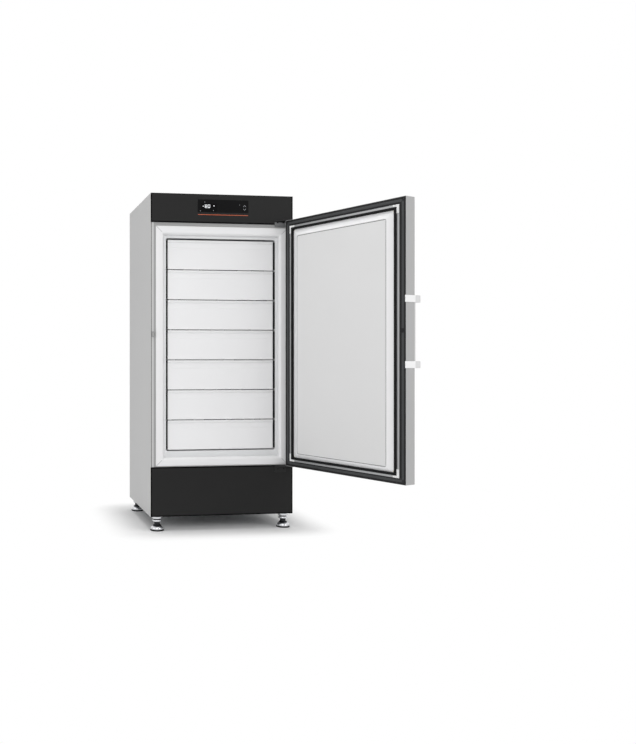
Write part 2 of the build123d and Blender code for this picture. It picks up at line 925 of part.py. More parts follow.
fan_radius = 96
fan_tip_gap = 5
ring_wall = 2
ring_depth = 30
ring_front = condenser_front - ring_depth
shroud_half = 150
shroud_sheet = 2
motor_radius = 30
motor_seat = 4
spoke_width = 8
with BuildPart() as fan_shroud:
    with BuildSketch(facing(condenser_front)):
        spanning(-shroud_half, shroud_half, condenser_low, condenser_high)
        with Locations((0, fan_z)):
            Circle(fan_radius + fan_tip_gap, mode=Mode.SUBTRACT)
    extrude(amount=shroud_sheet)
    with BuildSketch(facing(condenser_front)):
        with Locations((0, fan_z)):
            Circle(fan_radius + fan_tip_gap + ring_wall)
            Circle(fan_radius + fan_tip_gap, mode=Mode.SUBTRACT)
    extrude(amount=ring_depth)
    with BuildSketch(facing(ring_front)):
        with Locations((0, fan_z)):
            Rectangle(2 * (fan_radius + fan_tip_gap) + ring_wall, spoke_width)
            Rectangle(spoke_width, 2 * (fan_radius + fan_tip_gap) + ring_wall)
            Circle(motor_radius + motor_seat)
            Circle(motor_radius, mode=Mode.SUBTRACT)
    extrude(amount=motor_seat)
fan_shroud.part.label = "fan_shroud"
export_step(fan_shroud.part, "parts/fan_shroud.step")

motor_length = 46
motor_edge = 5
motor_tail = 1
motor_back = ring_front + motor_tail
shaft_radius = 4
shaft_reach = 20
hub_gap = 2
with BuildPart() as fan_motor:
    with BuildSketch(facing(motor_back)):
        with Locations((0, fan_z)):
            Circle(motor_radius)
    extrude(amount=motor_length)
    fillet(fan_motor.faces().sort_by(Axis.Y)[0].edges(), radius=motor_edge)
    with BuildSketch(facing(motor_back)):
        with Locations((0, fan_z)):
            Circle(shaft_radius)
    extrude(amount=-shaft_reach)
fan_motor.part.label = "fan_motor"
export_step(fan_motor.part, "parts/fan_motor.step")

hub_radius = 26
hub_front = motor_back + hub_gap
hub_length = 22
blade_count = 5
blade_root = 17
blade_tip = 37
blade_sink = 3
blade_thickness = 2
root_pitch = 38
tip_pitch = 22
with BuildPart() as fan_rotor:
    with BuildSketch(facing(hub_front)):
        with Locations((0, fan_z)):
            Circle(hub_radius)
            Circle(shaft_radius + pin_clearance, mode=Mode.SUBTRACT)
    extrude(amount=-hub_length)
    for blade in range(blade_count):
        turn = radians(360 / blade_count * blade)
        outward = (cos(turn), 0, sin(turn))
        across = (-sin(turn), 0, cos(turn))
        blade_y = hub_front + hub_length / 2
        for radius, chord, pitch in (
            (hub_radius - blade_sink, blade_root, root_pitch),
            (fan_radius, blade_tip, tip_pitch),
        ):
            lean = radians(pitch)
            chord_direction = (across[0] * cos(lean), sin(lean), across[2] * cos(lean))
            station = Plane(
                origin=(outward[0] * radius, blade_y, fan_z + outward[2] * radius),
                x_dir=chord_direction,
                z_dir=outward,
            )
            with BuildSketch(station):
                SlotOverall(chord, blade_thickness)
        loft()
fan_rotor.part.label = "fan_rotor"
export_step(fan_rotor.part, "parts/fan_rotor.step")

# Cord entry gland on the rear panel
gland_tail = 6
gland_nut = 8
gland_nose = 8
nut_margin = 3
with BuildPart() as cable_gland:
    with BuildSketch(facing(rear_inner - gland_tail)):
        with Locations((gland_x, gland_z)):
            Circle(gland_diameter / 2)
    extrude(amount=-(gland_tail + 2 * sheet))
    with BuildSketch(facing(back)):
        with Locations((gland_x, gland_z)):
            RegularPolygon(gland_diameter / 2 + nut_margin, 6)
    extrude(amount=-gland_nut)
    with BuildSketch(facing(back + gland_nut)):
        with Locations((gland_x, gland_z)):
            Circle(gland_diameter / 2)
    extrude(amount=-gland_nose)
    fillet(cable_gland.faces().sort_by(Axis.Y)[-1].edges(), radius=nut_margin)
cable_gland.part.label = "cable_gland"
export_step(cable_gland.part, "parts/cable_gland.step")

# Screws that hold the rear panel and the two hinge leaves
screw_radius = 5
screw_head = 2.4
screw_inset = 13
screw_margin = 40
screw_rows = 7
leaf_screw_spacing = 34
leaf_right = half - leaf_inset
leaf_left = leaf_right - leaf_width
upper_leaf_drop = 29
lower_leaf_drop = 38
upper_screw_drop = 5
lower_screw_drop = 18
upper_screws = door_top - upper_screw_drop
lower_screws = door_bottom - tab_gap - lower_screw_drop
with BuildPart() as panel_screws:
    with BuildSketch(facing(back)):
        with Locations((0, (foot_height + body_top) / 2)):
            with GridLocations(
                2 * (half - screw_inset),
                (body_height - 2 * screw_margin) / (screw_rows - 1),
                2,
                screw_rows,
            ):
                Circle(screw_radius)
    extrude(amount=-screw_head)
    with BuildSketch(facing(front - leaf_thickness)):
        for height in (upper_screws, lower_screws):
            with Locations(((leaf_left + leaf_right) / 2, height)):
                with GridLocations(leaf_screw_spacing, 0, 2, 1):
                    Circle(screw_radius)
    extrude(amount=screw_head)
panel_screws.part.label = "panel_screws"
export_step(panel_screws.part, "parts/panel_screws.step")

# Hinges: a leaf on the cabinet front, a tab over or under the door, and a pin into the door
tab_side = 14
tab_point = 12
tab_shoulder = 8
tab_step = 6
upper_tab = door_top + tab_gap
lower_tab = door_bottom - tab_gap - tab_thickness
for name, leaf_low, leaf_high, tab_low, pin_low in (
    (
        "hinge_upper",
        door_top - upper_leaf_drop,
        upper_tab + tab_thickness,
        upper_tab,
        upper_tab - pin_length,
    ),
    (
        "hinge_lower",
        lower_tab + tab_thickness - lower_leaf_drop,
        lower_tab + tab_thickness,
        lower_tab,
        lower_tab + tab_thickness,
    ),
):
    with BuildPart() as hinge:
        with BuildSketch(facing(front)):
            spanning(leaf_left, leaf_right, leaf_low, leaf_high)
        extrude(amount=leaf_thickness)
        with BuildSketch(Plane.XY.offset(tab_low)):
            with BuildLine():
                Polyline(
                    (leaf_left, front),
                    (leaf_left, front - leaf_thickness),
                    (hinge_x - tab_side, hinge_y - tab_step),
                    (hinge_x + tab_shoulder, hinge_y - tab_point),
                    (hinge_x + tab_side, hinge_y),
                    (hinge_x + tab_point, hinge_y + tab_point),
                    (leaf_right, front),
                    close=True,
                )
            make_face()
        extrude(amount=tab_thickness)
        with BuildSketch(Plane.XY.offset(pin_low)):
            with Locations((hinge_x, hinge_y)):
                Circle(pin_diameter / 2)
        extrude(amount=pin_length)
    hinge.part.label = name
    export_step(hinge.part, f"parts/{name}.step")

# Door, in the coordinates of the shut door: pressed skin, dark frame, foam and moulded liner
foam_front = door_outer + door_sheet
foam_back = door_inner - frame_thickness
skin_half = door_half - door_sheet
skin_bottom = door_bottom + door_sheet
skin_top = door_top - door_sheet
liner_half = door_half - frame_side - retainer_side - gasket_side
liner_low = door_bottom + frame_bottom + retainer_level + gasket_level
liner_high = door_top - frame_top - retainer_level - gasket_level
plateau_y = door_inner + plateau_proud
lock_x = -half + lock_inset
lock_z = door_bottom + lock_rise
lock_radius = lock_diameter / 2
bolt_x = -half + bolt_inset
bolt_radius = bolt_diameter / 2
with BuildPart() as door_skin:
    with BuildSketch(on_door(door_inner)):
        spanning(-door_half, door_half, door_bottom, door_top, door_corner)
    extrude(amount=door_thickness)
    with BuildSketch(on_door(door_inner)):
        spanning(-skin_half, skin_half, skin_bottom, skin_top, door_corner - door_sheet)
    extrude(amount=door_thickness - door_sheet, mode=Mode.SUBTRACT)
    with BuildSketch(door_level(door_bottom)):
        with Locations((hinge_x, hinge_y)):
            Circle(bush_diameter / 2)
    extrude(amount=door_top - door_bottom, mode=Mode.SUBTRACT)
    with BuildSketch(on_door(door_inner)):
        with Locations((lock_x, lock_z)):
            Circle(lock_radius + running_gap)
    extrude(amount=door_thickness, mode=Mode.SUBTRACT)
door_skin.part.label = "door_skin"
export_step(door_skin.part, "parts/door_skin.step")

with BuildPart() as door_frame:
    with BuildSketch(on_door(door_inner)):
        spanning(-skin_half, skin_half, skin_bottom, skin_top, door_corner - door_sheet)
        with Locations((bolt_x, lock_z)):
            Circle(bolt_radius + running_gap, mode=Mode.SUBTRACT)
        with Locations((0, (liner_low + liner_high) / 2)):
            Rectangle(2 * liner_half, liner_high - liner_low, mode=Mode.SUBTRACT)
    extrude(amount=frame_thickness)
door_frame.part.label = "door_frame"
export_step(door_frame.part, "parts/door_frame.step")


def plateau(inset):
    """Tapered block of the door liner inside the current part, with each wall moved in by inset."""
    sketches = []
    for y, side, low, high in (
        (foam_back, 0, 0, 0),
        (door_inner, 0, 0, 0),
        (plateau_y - inset, plateau_side, plateau_bottom, plateau_top),
    ):
        with BuildSketch(on_door(y)) as level:
            spanning(
                -liner_half + side + inset,
                liner_half - side - inset,
                liner_low + low + inset,
                liner_high - high - inset,
            )
        sketches.append(level.sketch)
    extrude(sketches[0], amount=-frame_thickness)
    loft([sketches[1], sketches[2]])


with BuildPart() as liner_core:
    plateau(liner_wall)
with BuildPart() as door_liner:
    plateau(0)
    add(liner_core.part, mode=Mode.SUBTRACT)
door_liner.part.label = "door_liner"
export_step(door_liner.part, "parts/door_liner.step")

with BuildPart() as door_foam:
    with BuildSketch(on_door(foam_back)):
        spanning(-skin_half, skin_half, skin_bottom, skin_top, door_corner - door_sheet)
    extrude(amount=foam_back - foam_front)
    add(liner_core.part)
    for level, height in ((door_bottom, bush_length), (door_top, -bush_length)):
        with BuildSketch(door_level(level)):
            with Locations((hinge_x, hinge_y)):
                Circle(bush_diameter / 2)
        extrude(amount=height, mode=Mode.SUBTRACT)
    with BuildSketch(on_door(door_outer)):
        with Locations((lock_x, lock_z)):
            Circle(lock_radius + running_gap)
    extrude(amount=-lock_length, mode=Mode.SUBTRACT)
    with BuildSketch(on_door(door_inner)):
        with Locations((bolt_x, lock_z)):
            Circle(bolt_radius + running_gap)
    extrude(amount=bolt_length + running_gap, mode=Mode.SUBTRACT)
door_foam.part.label = "door_foam"
export_step(door_foam.part, "parts/door_foam.step")

with BuildPart() as gasket_retainer:
    with BuildSketch(on_door(door_inner)):
        spanning(
            -door_half + frame_side,
            door_half - frame_side,
            door_bottom + frame_bottom,
            door_top - frame_top,
        )
        retainer_low = door_bottom + frame_bottom + retainer_level
        retainer_high = door_top - frame_top - retainer_level
        with Locations((0, (retainer_low + retainer_high) / 2)):
            Rectangle(
                2 * (door_half - frame_side - retainer_side),
                retainer_high - retainer_low,
                mode=Mode.SUBTRACT,
            )
    extrude(amount=-retainer_proud)
gasket_retainer.part.label = "gasket_retainer"
export_step(gasket_retainer.part, "parts/gasket_retainer.step")

# Corner keys clipped over the mitres of the retainer
key_reach_x = 37
key_reach_z = 43
key_thickness = 2
key_half = door_half - frame_side
with BuildPart() as retainer_corners:
    for side in (-1, 1):
        for level, up in ((door_bottom + frame_bottom, 1), (door_top - frame_top, -1)):
            corner_x = side * key_half
            with BuildSketch(on_door(door_inner + retainer_proud)):
                with BuildLine():
                    Polyline(
                        (corner_x, level),
                        (corner_x, level + up * key_reach_z),
                        (corner_x - side * retainer_side, level + up * key_reach_z),
                        (corner_x - side * retainer_side, level + up * retainer_level),
                        (corner_x - side * key_reach_x, level + up * retainer_level),
                        (corner_x - side * key_reach_x, level),
                        close=True,
                    )
                make_face()
            extrude(amount=-key_thickness)
retainer_corners.part.label = "retainer_corners"
export_step(retainer_corners.part, "parts/retainer_corners.step")

gasket_half = door_half - frame_side - retainer_side
gasket_low = door_bottom + frame_bottom + retainer_level
gasket_high = door_top - frame_top - retainer_level
gasket_rise = frame_face - running_gap - door_inner
gasket_nose = 3
with BuildPart() as door_gasket:
    with BuildSketch(on_door(door_inner)):
        spanning(-gasket_half, gasket_half, gasket_low, gasket_high)
        with Locations((0, (liner_low + liner_high) / 2)):
            Rectangle(2 * liner_half, liner_high - liner_low, mode=Mode.SUBTRACT)
    extrude(amount=-gasket_rise)
    chamfer(door_gasket.faces().sort_by(door_normal)[-1].edges(), length=gasket_nose)
door_gasket.part.label = "door_gasket"
export_step(door_gasket.part, "parts/door_gasket.step")

with BuildPart() as hinge_bushes:
    for level, height, flange in (
        (door_bottom, bush_length, -tab_gap + running_gap),
        (door_top, -bush_length, tab_gap - running_gap),
    ):
        with BuildSketch(door_level(level)):
            with Locations((hinge_x, hinge_y)):
                Circle(bush_diameter / 2)
        extrude(amount=height)
        with BuildSketch(door_level(level)):
            with Locations((hinge_x, hinge_y)):
                Circle(bush_flange_diameter / 2)
        extrude(amount=flange)
        with BuildSketch(door_level(level + flange)):
            with Locations((hinge_x, hinge_y)):
                Circle(pin_diameter / 2 + pin_clearance)
        extrude(amount=height - flange, mode=Mode.SUBTRACT)
hinge_bushes.part.label = "hinge_bushes"
export_step(hinge_bushes.part, "parts/hinge_bushes.step")

# Handle: two clevis brackets with white end covers, and a lever that works two pushers
pivot_x = -half + pivot_inset
pivot_y = door_outer - pivot_reach
bracket_edge = -door_half - cover_thickness
bracket_inner = bracket_edge + bracket_width
slot_clearance = 0.5
slot_back = 12
slot_web = 3
bracket_low = door_bottom + bracket_rise
bracket_high = bracket_low + bracket_spacing
with BuildPart() as handle_brackets:
    for middle in (bracket_low, bracket_high):
        with BuildSketch(door_level(middle - bracket_height / 2)) as bracket_plan:
            spanning(bracket_edge, bracket_inner, door_outer - bracket_reach, door_outer)
            fillet(bracket_plan.vertices().group_by(Axis.Y)[0], radius=bracket_corner)
        extrude(amount=bracket_height)
        with BuildSketch(door_level(middle - lever_height / 2 - slot_clearance)):
            spanning(
                pivot_x - slot_back,
                bracket_inner,
                door_outer - bracket_reach,
                door_outer - slot_web,
            )
        extrude(amount=lever_height + 2 * slot_clearance, mode=Mode.SUBTRACT)
        with BuildSketch(door_level(middle - bracket_height / 2)):
            with Locations((pivot_x, pivot_y)):
                Circle(pivot_diameter / 2)
        extrude(amount=bracket_height)
    with BuildSketch(on_door(door_outer)):
        spanning(
            -door_half,
            bracket_inner,
            bracket_low + bracket_height / 2,
            bracket_high - bracket_height / 2,
        )
        with Locations((lock_x, lock_z)):
            Circle(lock_radius + running_gap, mode=Mode.SUBTRACT)
    extrude(amount=backplate_thickness)
handle_brackets.part.label = "handle_brackets"
export_step(handle_brackets.part, "parts/handle_brackets.step")

pusher_width = 14
pusher_thickness = 2
pusher_mid = -door_half - cover_thickness / 2
pusher_inset = 12
pusher_back = door_outer + pusher_inset
pusher_tuck = 0.5
cover_tuck = 1
pusher_tip = front + pusher_tuck
cover_tip = front + cover_tuck
with BuildPart() as handle_covers:
    for middle in (bracket_low, bracket_high):
        with BuildSketch(door_level(middle - bracket_height / 2)):
            spanning(bracket_edge, -door_half, door_outer, cover_tip)
        extrude(amount=bracket_height)
        with BuildSketch(door_level(middle - pusher_width / 2 - running_gap)):
            spanning(
                pusher_mid - pusher_thickness / 2 - running_gap,
                pusher_mid + pusher_thickness / 2 + running_gap,
                pusher_back - running_gap,
                cover_tip,
            )
        extrude(amount=pusher_width + 2 * running_gap, mode=Mode.SUBTRACT)
handle_covers.part.label = "handle_covers"
export_step(handle_covers.part, "parts/handle_covers.step")

with BuildPart() as handle_pushers:
    for middle in (bracket_low, bracket_high):
        with BuildSketch(door_level(middle - pusher_width / 2)):
            spanning(
                pusher_mid - pusher_thickness / 2,
                pusher_mid + pusher_thickness / 2,
                pusher_back,
                pusher_tip,
            )
        extrude(amount=pusher_width)
handle_pushers.part.label = "handle_pushers"
export_step(handle_pushers.part, "parts/handle_pushers.step")

bar_x = pivot_x + lever_length
bar_y = pivot_y - bar_drop
bar_corner = 7
with BuildPart() as handle_lever:
    for middle in (bracket_low, bracket_high):
        with BuildSketch(door_level(middle - lever_height / 2)):
            with BuildLine():
                Polyline(
                    (pivot_x, pivot_y + lever_end / 2),
                    (bar_x, bar_y + bar_thickness / 2),
                    (bar_x, bar_y - bar_thickness / 2),
                    (pivot_x, pivot_y - lever_end / 2),
                    close=True,
                )
            make_face()
            with Locations((pivot_x, pivot_y)):
                Circle(lever_end / 2)
                Circle(pivot_diameter / 2 + pin_clearance, mode=Mode.SUBTRACT)
        extrude(amount=lever_height)
    with BuildSketch(door_level(bracket_low - bracket_height / 2)):
        with Locations((bar_x, bar_y)):
            RectangleRounded(bar_width, bar_thickness, bar_corner)
    extrude(amount=bracket_high - bracket_low + bracket_height)
handle_lever.part.label = "handle_lever"
export_step(handle_lever.part, "parts/handle_lever.step")

# Key lock in the handle plate, and its round bolt behind the door frame
keyway_height = 8
keyway_width = 2
with BuildPart() as lock_cylinder:
    with BuildSketch(on_door(door_outer - backplate_thickness - lock_proud)):
        with Locations((lock_x, lock_z)):
            Circle(lock_radius)
            SlotOverall(keyway_height, keyway_width, rotation=90, mode=Mode.SUBTRACT)
    extrude(amount=-lock_length)
lock_cylinder.part.label = "lock_cylinder"
export_step(lock_cylinder.part, "parts/lock_cylinder.step")

with BuildPart() as lock_bolt:
    with BuildSketch(on_door(door_inner - running_gap)):
        with Locations((bolt_x, lock_z)):
            Circle(bolt_radius)
    extrude(amount=bolt_length - 2 * running_gap)
lock_bolt.part.label = "lock_bolt"
export_step(lock_bolt.part, "parts/lock_bolt.step")

keeper_height = 32
keeper_width = 20
keeper_slot = 20
keeper_play = 1.5
with BuildPart() as keeper_plate:
    with BuildSketch(facing(frame_face)):
        with Locations((bolt_x, lock_z)):
            Rectangle(keeper_width, keeper_height)
            SlotOverall(keeper_slot, bolt_diameter + keeper_play, rotation=90, mode=Mode.SUBTRACT)
    extrude(amount=cover_depth)
keeper_plate.part.label = "keeper_plate"
export_step(keeper_plate.part, "parts/keeper_plate.step")
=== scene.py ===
import json
from math import cos, pi, radians, sin

import bmesh
import bpy
import numpy as np
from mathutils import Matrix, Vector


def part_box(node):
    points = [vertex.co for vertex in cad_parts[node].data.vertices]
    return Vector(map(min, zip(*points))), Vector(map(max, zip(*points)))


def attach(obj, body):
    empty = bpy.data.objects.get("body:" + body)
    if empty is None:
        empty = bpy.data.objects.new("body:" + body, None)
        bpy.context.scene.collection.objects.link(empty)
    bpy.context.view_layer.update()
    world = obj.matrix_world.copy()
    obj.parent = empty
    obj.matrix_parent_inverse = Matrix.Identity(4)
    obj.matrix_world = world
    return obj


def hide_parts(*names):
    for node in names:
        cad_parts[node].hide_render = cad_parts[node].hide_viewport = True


with open("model.json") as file:
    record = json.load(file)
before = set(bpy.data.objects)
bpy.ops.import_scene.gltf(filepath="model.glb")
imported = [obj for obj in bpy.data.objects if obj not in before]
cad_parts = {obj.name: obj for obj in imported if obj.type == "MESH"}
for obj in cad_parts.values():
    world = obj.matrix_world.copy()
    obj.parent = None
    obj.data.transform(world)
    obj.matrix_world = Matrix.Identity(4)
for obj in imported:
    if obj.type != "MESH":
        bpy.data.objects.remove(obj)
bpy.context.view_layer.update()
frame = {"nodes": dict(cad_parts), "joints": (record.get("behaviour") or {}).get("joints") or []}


# Photographer's view
# A level camera a good four metres in front of the cabinet and to its left. The front looks nearly
# flat on in the picture, so the lens is shifted, with its axis to the left of the freezer.
camera_place = (-1.33710, -4.80482, 0.98744)
camera_turn = -0.133097
lens_mm = 38.8282
crop_shift = (0.30, -0.01936)

lens = bpy.data.cameras.new("camera")
lens.lens = lens_mm
lens.shift_x, lens.shift_y = crop_shift
lens.clip_end = 100
camera = bpy.data.objects.new("camera", lens)
camera.location = camera_place
camera.rotation_euler = (pi / 2, 0, camera_turn)
bpy.context.scene.collection.objects.link(camera)
bpy.context.scene.camera = camera
bpy.context.scene.view_settings.view_transform = "Standard"


# Studio
# A white sweep under four soft boxes: one overhead, one on the left and two in front.
# The walls add an even light, brighter above. The sweep keeps the shadow close to the cabinet and
# is plain white further out, as the walls are to the eye and in polished metal and glass.
wall_low = 0.04
wall_high = 0.52
wall_level = 0.6
sweep_white = "f4f4f4"
sweep_clear = 0.02
sweep_fade = 0.25
footprint = (0.42, 0.34)
soft_boxes = {
    "left": ((-4.2, -1.6, 2.0), (0.0, 0.0, 1.0), 3.0, 24),
    "top": ((0.0, 0.0, 4.2), (0.0, 0.0, 0.0), 2.4, 70),
    "front_right": ((3.6, -4.6, 2.6), (0.2, -0.4, 0.9), 2.4, 58),
    "front_left": ((-1.9, -5.2, 2.7), (0.0, -0.4, 0.9), 2.4, 80),
}


def srgb(code):
    """Linear light for a colour written as sRGB hex: each channel goes through the sRGB curve."""
    channels = [int(code[start:start + 2], 16) / 255 for start in (0, 2, 4)]
    return tuple(((c + 0.055) / 1.055) ** 2.4 if c > 0.04045 else c / 12.92 for c in channels) + (1,)


def node(tree, kind, inputs=None, **settings):
    """Adds one node. Settings are its properties, and inputs maps a socket to a value or a link."""
    new = tree.nodes.new(kind)
    for key, value in settings.items():
        setattr(new, key, value)
    for key, value in (inputs or {}).items():
        if isinstance(value, bpy.types.NodeSocket):
            tree.links.new(value, new.inputs[key])
        else:
            new.inputs[key].default_value = value
    return new


def bare_material(name):
    """An empty material, its node tree, and the object's own coordinates to place textures by."""
    material = bpy.data.materials.new(name)
    material.use_nodes = True
    tree = material.node_tree
    tree.nodes.clear()
    return material, tree, node(tree, "ShaderNodeTexCoord").outputs["Object"]


def seen_rays(tree):
    """One for rays of the camera, of glossy reflection or of transmission, and nought for the rest."""
    rays = node(tree, "ShaderNodeLightPath")
    looks = node(tree, "ShaderNodeMath", {
        0: rays.outputs["Is Camera Ray"],
        1: rays.outputs["Is Glossy Ray"],
    }, operation="MAXIMUM")
    return node(tree, "ShaderNodeMath", {
        0: looks.outputs[0],
        1: rays.outputs["Is Transmission Ray"],
    }, operation="MAXIMUM").outputs[0]


world = bpy.data.worlds.new("studio")
bpy.context.scene.world = world
world.use_nodes = True
tree = world.node_tree
tree.nodes.clear()
toward = node(tree, "ShaderNodeSeparateXYZ", {
    0: node(tree, "ShaderNodeTexCoord").outputs["Generated"],
})
bounced = node(tree, "ShaderNodeMapRange", {
    "Value": toward.outputs["Z"],
    "From Min": 0.0,
    "From Max": wall_level,
    "To Min": wall_low,
    "To Max": wall_high,
})
strength = node(tree, "ShaderNodeMix", {
    "Factor": seen_rays(tree),
    "A": bounced.outputs[0],
    "B": 1.0,
})
walls = node(tree, "ShaderNodeBackground", {
    "Color": (1, 1, 1, 1),
    "Strength": strength.outputs["Result"],
})
node(tree, "ShaderNodeOutputWorld", {"Surface": walls.outputs[0]})

for name, (place, target, size, watts) in soft_boxes.items():
    light = bpy.data.lights.new(name, "AREA")
    light.size = size
    light.energy = watts
    lamp = bpy.data.objects.new(name, light)
    lamp.location = place
    aim = np.subtract(target, place)
    flat_reach = float(np.hypot(aim[0], aim[1]))
    lamp.rotation_euler = (
        np.arctan2(flat_reach, -aim[2]),
        0,
        np.arctan2(aim[1], aim[0]) - pi / 2,
    )
    bpy.context.scene.collection.objects.link(lamp)

sweep_mesh = bpy.data.meshes.new("sweep")
sweep_reach = 40
sweep_mesh.from_pydata(
    [(sweep_reach * side, sweep_reach * end, 0) for side, end in ((-1, -1), (1, -1), (1, 1), (-1, 1))],
    [],
    [(0, 1, 2, 3)],
)
sweep = bpy.data.objects.new("sweep", sweep_mesh)
bpy.context.scene.collection.objects.link(sweep)
paper, tree, place = bare_material("white_paper_sweep")
aside = node(tree, "ShaderNodeVectorMath", {0: place}, operation="ABSOLUTE")
past = node(tree, "ShaderNodeVectorMath", {
    0: aside.outputs[0],
    1: footprint + (0,),
}, operation="SUBTRACT")
outside = node(tree, "ShaderNodeVectorMath", {0: past.outputs[0]}, operation="MAXIMUM")
away = node(tree, "ShaderNodeVectorMath", {0: outside.outputs[0]}, operation="LENGTH")
faded = node(tree, "ShaderNodeMapRange", {
    "Value": away.outputs["Value"],
    "From Min": sweep_clear,
    "From Max": sweep_clear + sweep_fade,
}, interpolation_type="SMOOTHSTEP")
hidden = node(tree, "ShaderNodeMath", {
    0: faded.outputs[0],
    1: seen_rays(tree),
}, operation="MULTIPLY")
matt = node(tree, "ShaderNodeBsdfDiffuse", {"Color": srgb(sweep_white)})
blank = node(tree, "ShaderNodeEmission", {"Strength": 1.0})
both = node(tree, "ShaderNodeMixShader", {
    0: hidden.outputs[0],
    1: matt.outputs[0],
    2: blank.outputs[0],
})
node(tree, "ShaderNodeOutputMaterial", {"Surface": both.outputs[0]})
sweep_mesh.materials.append(paper)


# Cabinet shell
# Two side panels folded from one sheet each, a rear panel, a top and the floor and roof of the
# insulated box. Sheet steel with a light grey powder coat, cured in an oven.
shell_grey = "c2c2c2"
peel_size = 0.0022
tone_patch = 0.55
folded_edge = 0.0014


def tinted(tree, blend, colour, tone):
    """A colour that goes from a share darker to the same share lighter as the blend rises."""
    base = srgb(colour)[:3]
    dark = tuple(c * (1 - tone) for c in base) + (1,)
    light = tuple(min(c * (1 + tone), 1) for c in base) + (1,)
    mixed = node(tree, "ShaderNodeMix", {0: blend, 6: dark, 7: light}, data_type="RGBA")
    return mixed.outputs[2]


def powder_coat(name, colour, roughness=0.45, tone=0.03, relief=0.00003, sheen=0.5):
    """Powder paint: a satin skin with faint orange peel and a slow drift of tone over the sheet.
    The peel is drawn about twice as coarse as the real one so that it shows."""
    material, tree, place = bare_material(name)
    peel = node(tree, "ShaderNodeTexNoise", {"Vector": place, "Scale": 1 / peel_size, "Detail": 1.0})
    drift = node(tree, "ShaderNodeTexNoise", {"Vector": place, "Scale": 1 / tone_patch, "Detail": 2.0})
    tint = tinted(tree, drift.outputs["Fac"], colour, tone)
    edge = node(tree, "ShaderNodeBevel", {"Radius": folded_edge}, samples=4)
    bump = node(tree, "ShaderNodeBump", {
        "Height": peel.outputs["Fac"],
        "Distance": relief,
        "Strength": 0.5,
        "Normal": edge.outputs["Normal"],
    })
    skin = node(tree, "ShaderNodeBsdfPrincipled", {
        "Base Color": tint,
        "Roughness": roughness,
        "Specular IOR Level": sheen,
        "Normal": bump.outputs["Normal"],
    })
    node(tree, "ShaderNodeOutputMaterial", {"Surface": skin.outputs[0]})
    return material


def dress(material, *names):
    """Gives CAD nodes their material in every slot."""
    for name in names:
        mesh = frame["nodes"][name].data
        mesh.materials.clear()
        mesh.materials.append(material)


shell_coat = powder_coat("light_grey_powder_coat", shell_grey)
dress(shell_coat, "side_panels", "rear_panel", "top_panel", "bulkheads", "rear_grille")


# Flange round the mouth
# The grey returns of the side panels and the steel ring behind them, which the collar sits in. A
# dark bead runs down each return, just inside the folded edge: painted shade, a dark strip where
# the gap at the panel's front edge lies in shadow.
# The flange's grey is the shell's powder coat painted darker: painted shade of the front, which lies
# back behind the covers and the door.
flange_shade_grey = "9c9c9c"
bead_inset = 0.0022
bead_width = 0.004
bead_proud = 0.0006
bead_foot = 0.014
bead_head = 0.006
bead_shade_grey = "6a6a6a"
flange_shade_coat = powder_coat("grey_powder_coat_flange_painted_shade", flange_shade_grey)
dress(flange_shade_coat, "front_frame", "keeper_plate")


def grid_faces(rows, columns, wrap=True):
    """Quads between successive rows of points, with each row closed on itself if wrap is set."""
    spans = columns if wrap else columns - 1
    row, column = np.meshgrid(np.arange(rows - 1), np.arange(spans), indexing="ij")
    here = row * columns + column
    beside = row * columns + (column + 1) % columns
    return np.stack([here, beside, beside + columns, here + columns], -1).reshape(-1, 4).tolist()


def piece(name, points, faces, material, body="root", crease=35):
    """Makes a mesh piece and rides it on its body. Edges sharper than crease degrees stay sharp."""
    mesh = bpy.data.meshes.new(name)
    mesh.from_pydata(np.asarray(points, float).reshape(-1, 3).tolist(), [], faces)
    made = bpy.data.objects.new(name, mesh)
    bpy.context.scene.collection.objects.link(made)
    tidy = bmesh.new()
    tidy.from_mesh(mesh)
    bmesh.ops.remove_doubles(tidy, verts=tidy.verts, dist=1e-6)
    bmesh.ops.recalc_face_normals(tidy, faces=tidy.faces)
    tidy.to_mesh(mesh)
    tidy.free()
    mesh.shade_smooth()
    mesh.set_sharp_from_angle(angle=radians(crease))
    mesh.materials.append(material)
    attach(made, body)
    return made


def corner_turns(steps):
    """Angles of four quarter circles, one after the other, with both ends of each."""
    quarters = [np.linspace(quarter, quarter + 1, steps + 1) for quarter in range(4)]
    return np.concatenate(quarters) * pi / 2


def rounded_block(low, high, radius, steps=4):
    """Points and faces of a block whose edges are quarter circles: a sphere's eighths, pushed apart
    to the corners. Point = centre of the corner's sphere + radius times the direction."""
    low, high = np.asarray(low, float), np.asarray(high, float)
    centre, inner = (low + high) / 2, (high - low) / 2 - radius
    turn = corner_turns(steps)
    side_x = np.repeat([1, -1, -1, 1], steps + 1)
    side_y = np.repeat([1, 1, -1, -1], steps + 1)
    rise = np.concatenate([np.linspace(-1, 0, steps + 1), np.linspace(0, 1, steps + 1)]) * pi / 2
    side_z = np.repeat([-1, 1], steps + 1)
    x = side_x * inner[0] + radius * np.cos(rise)[:, None] * np.cos(turn)
    y = side_y * inner[1] + radius * np.cos(rise)[:, None] * np.sin(turn)
    z = (side_z * inner[2] + radius * np.sin(rise))[:, None] * np.ones_like(turn)
    points = np.stack([x, y, z], -1) + centre
    rows, columns = len(rise), len(turn)
    faces = grid_faces(rows, columns)
    last = (rows - 1) * columns
    faces.append(list(range(columns)))
    faces.append(list(range(last, last + columns)))
    return points, faces


frame_low, frame_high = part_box("front_frame")
shell_low, shell_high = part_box("side_panels")
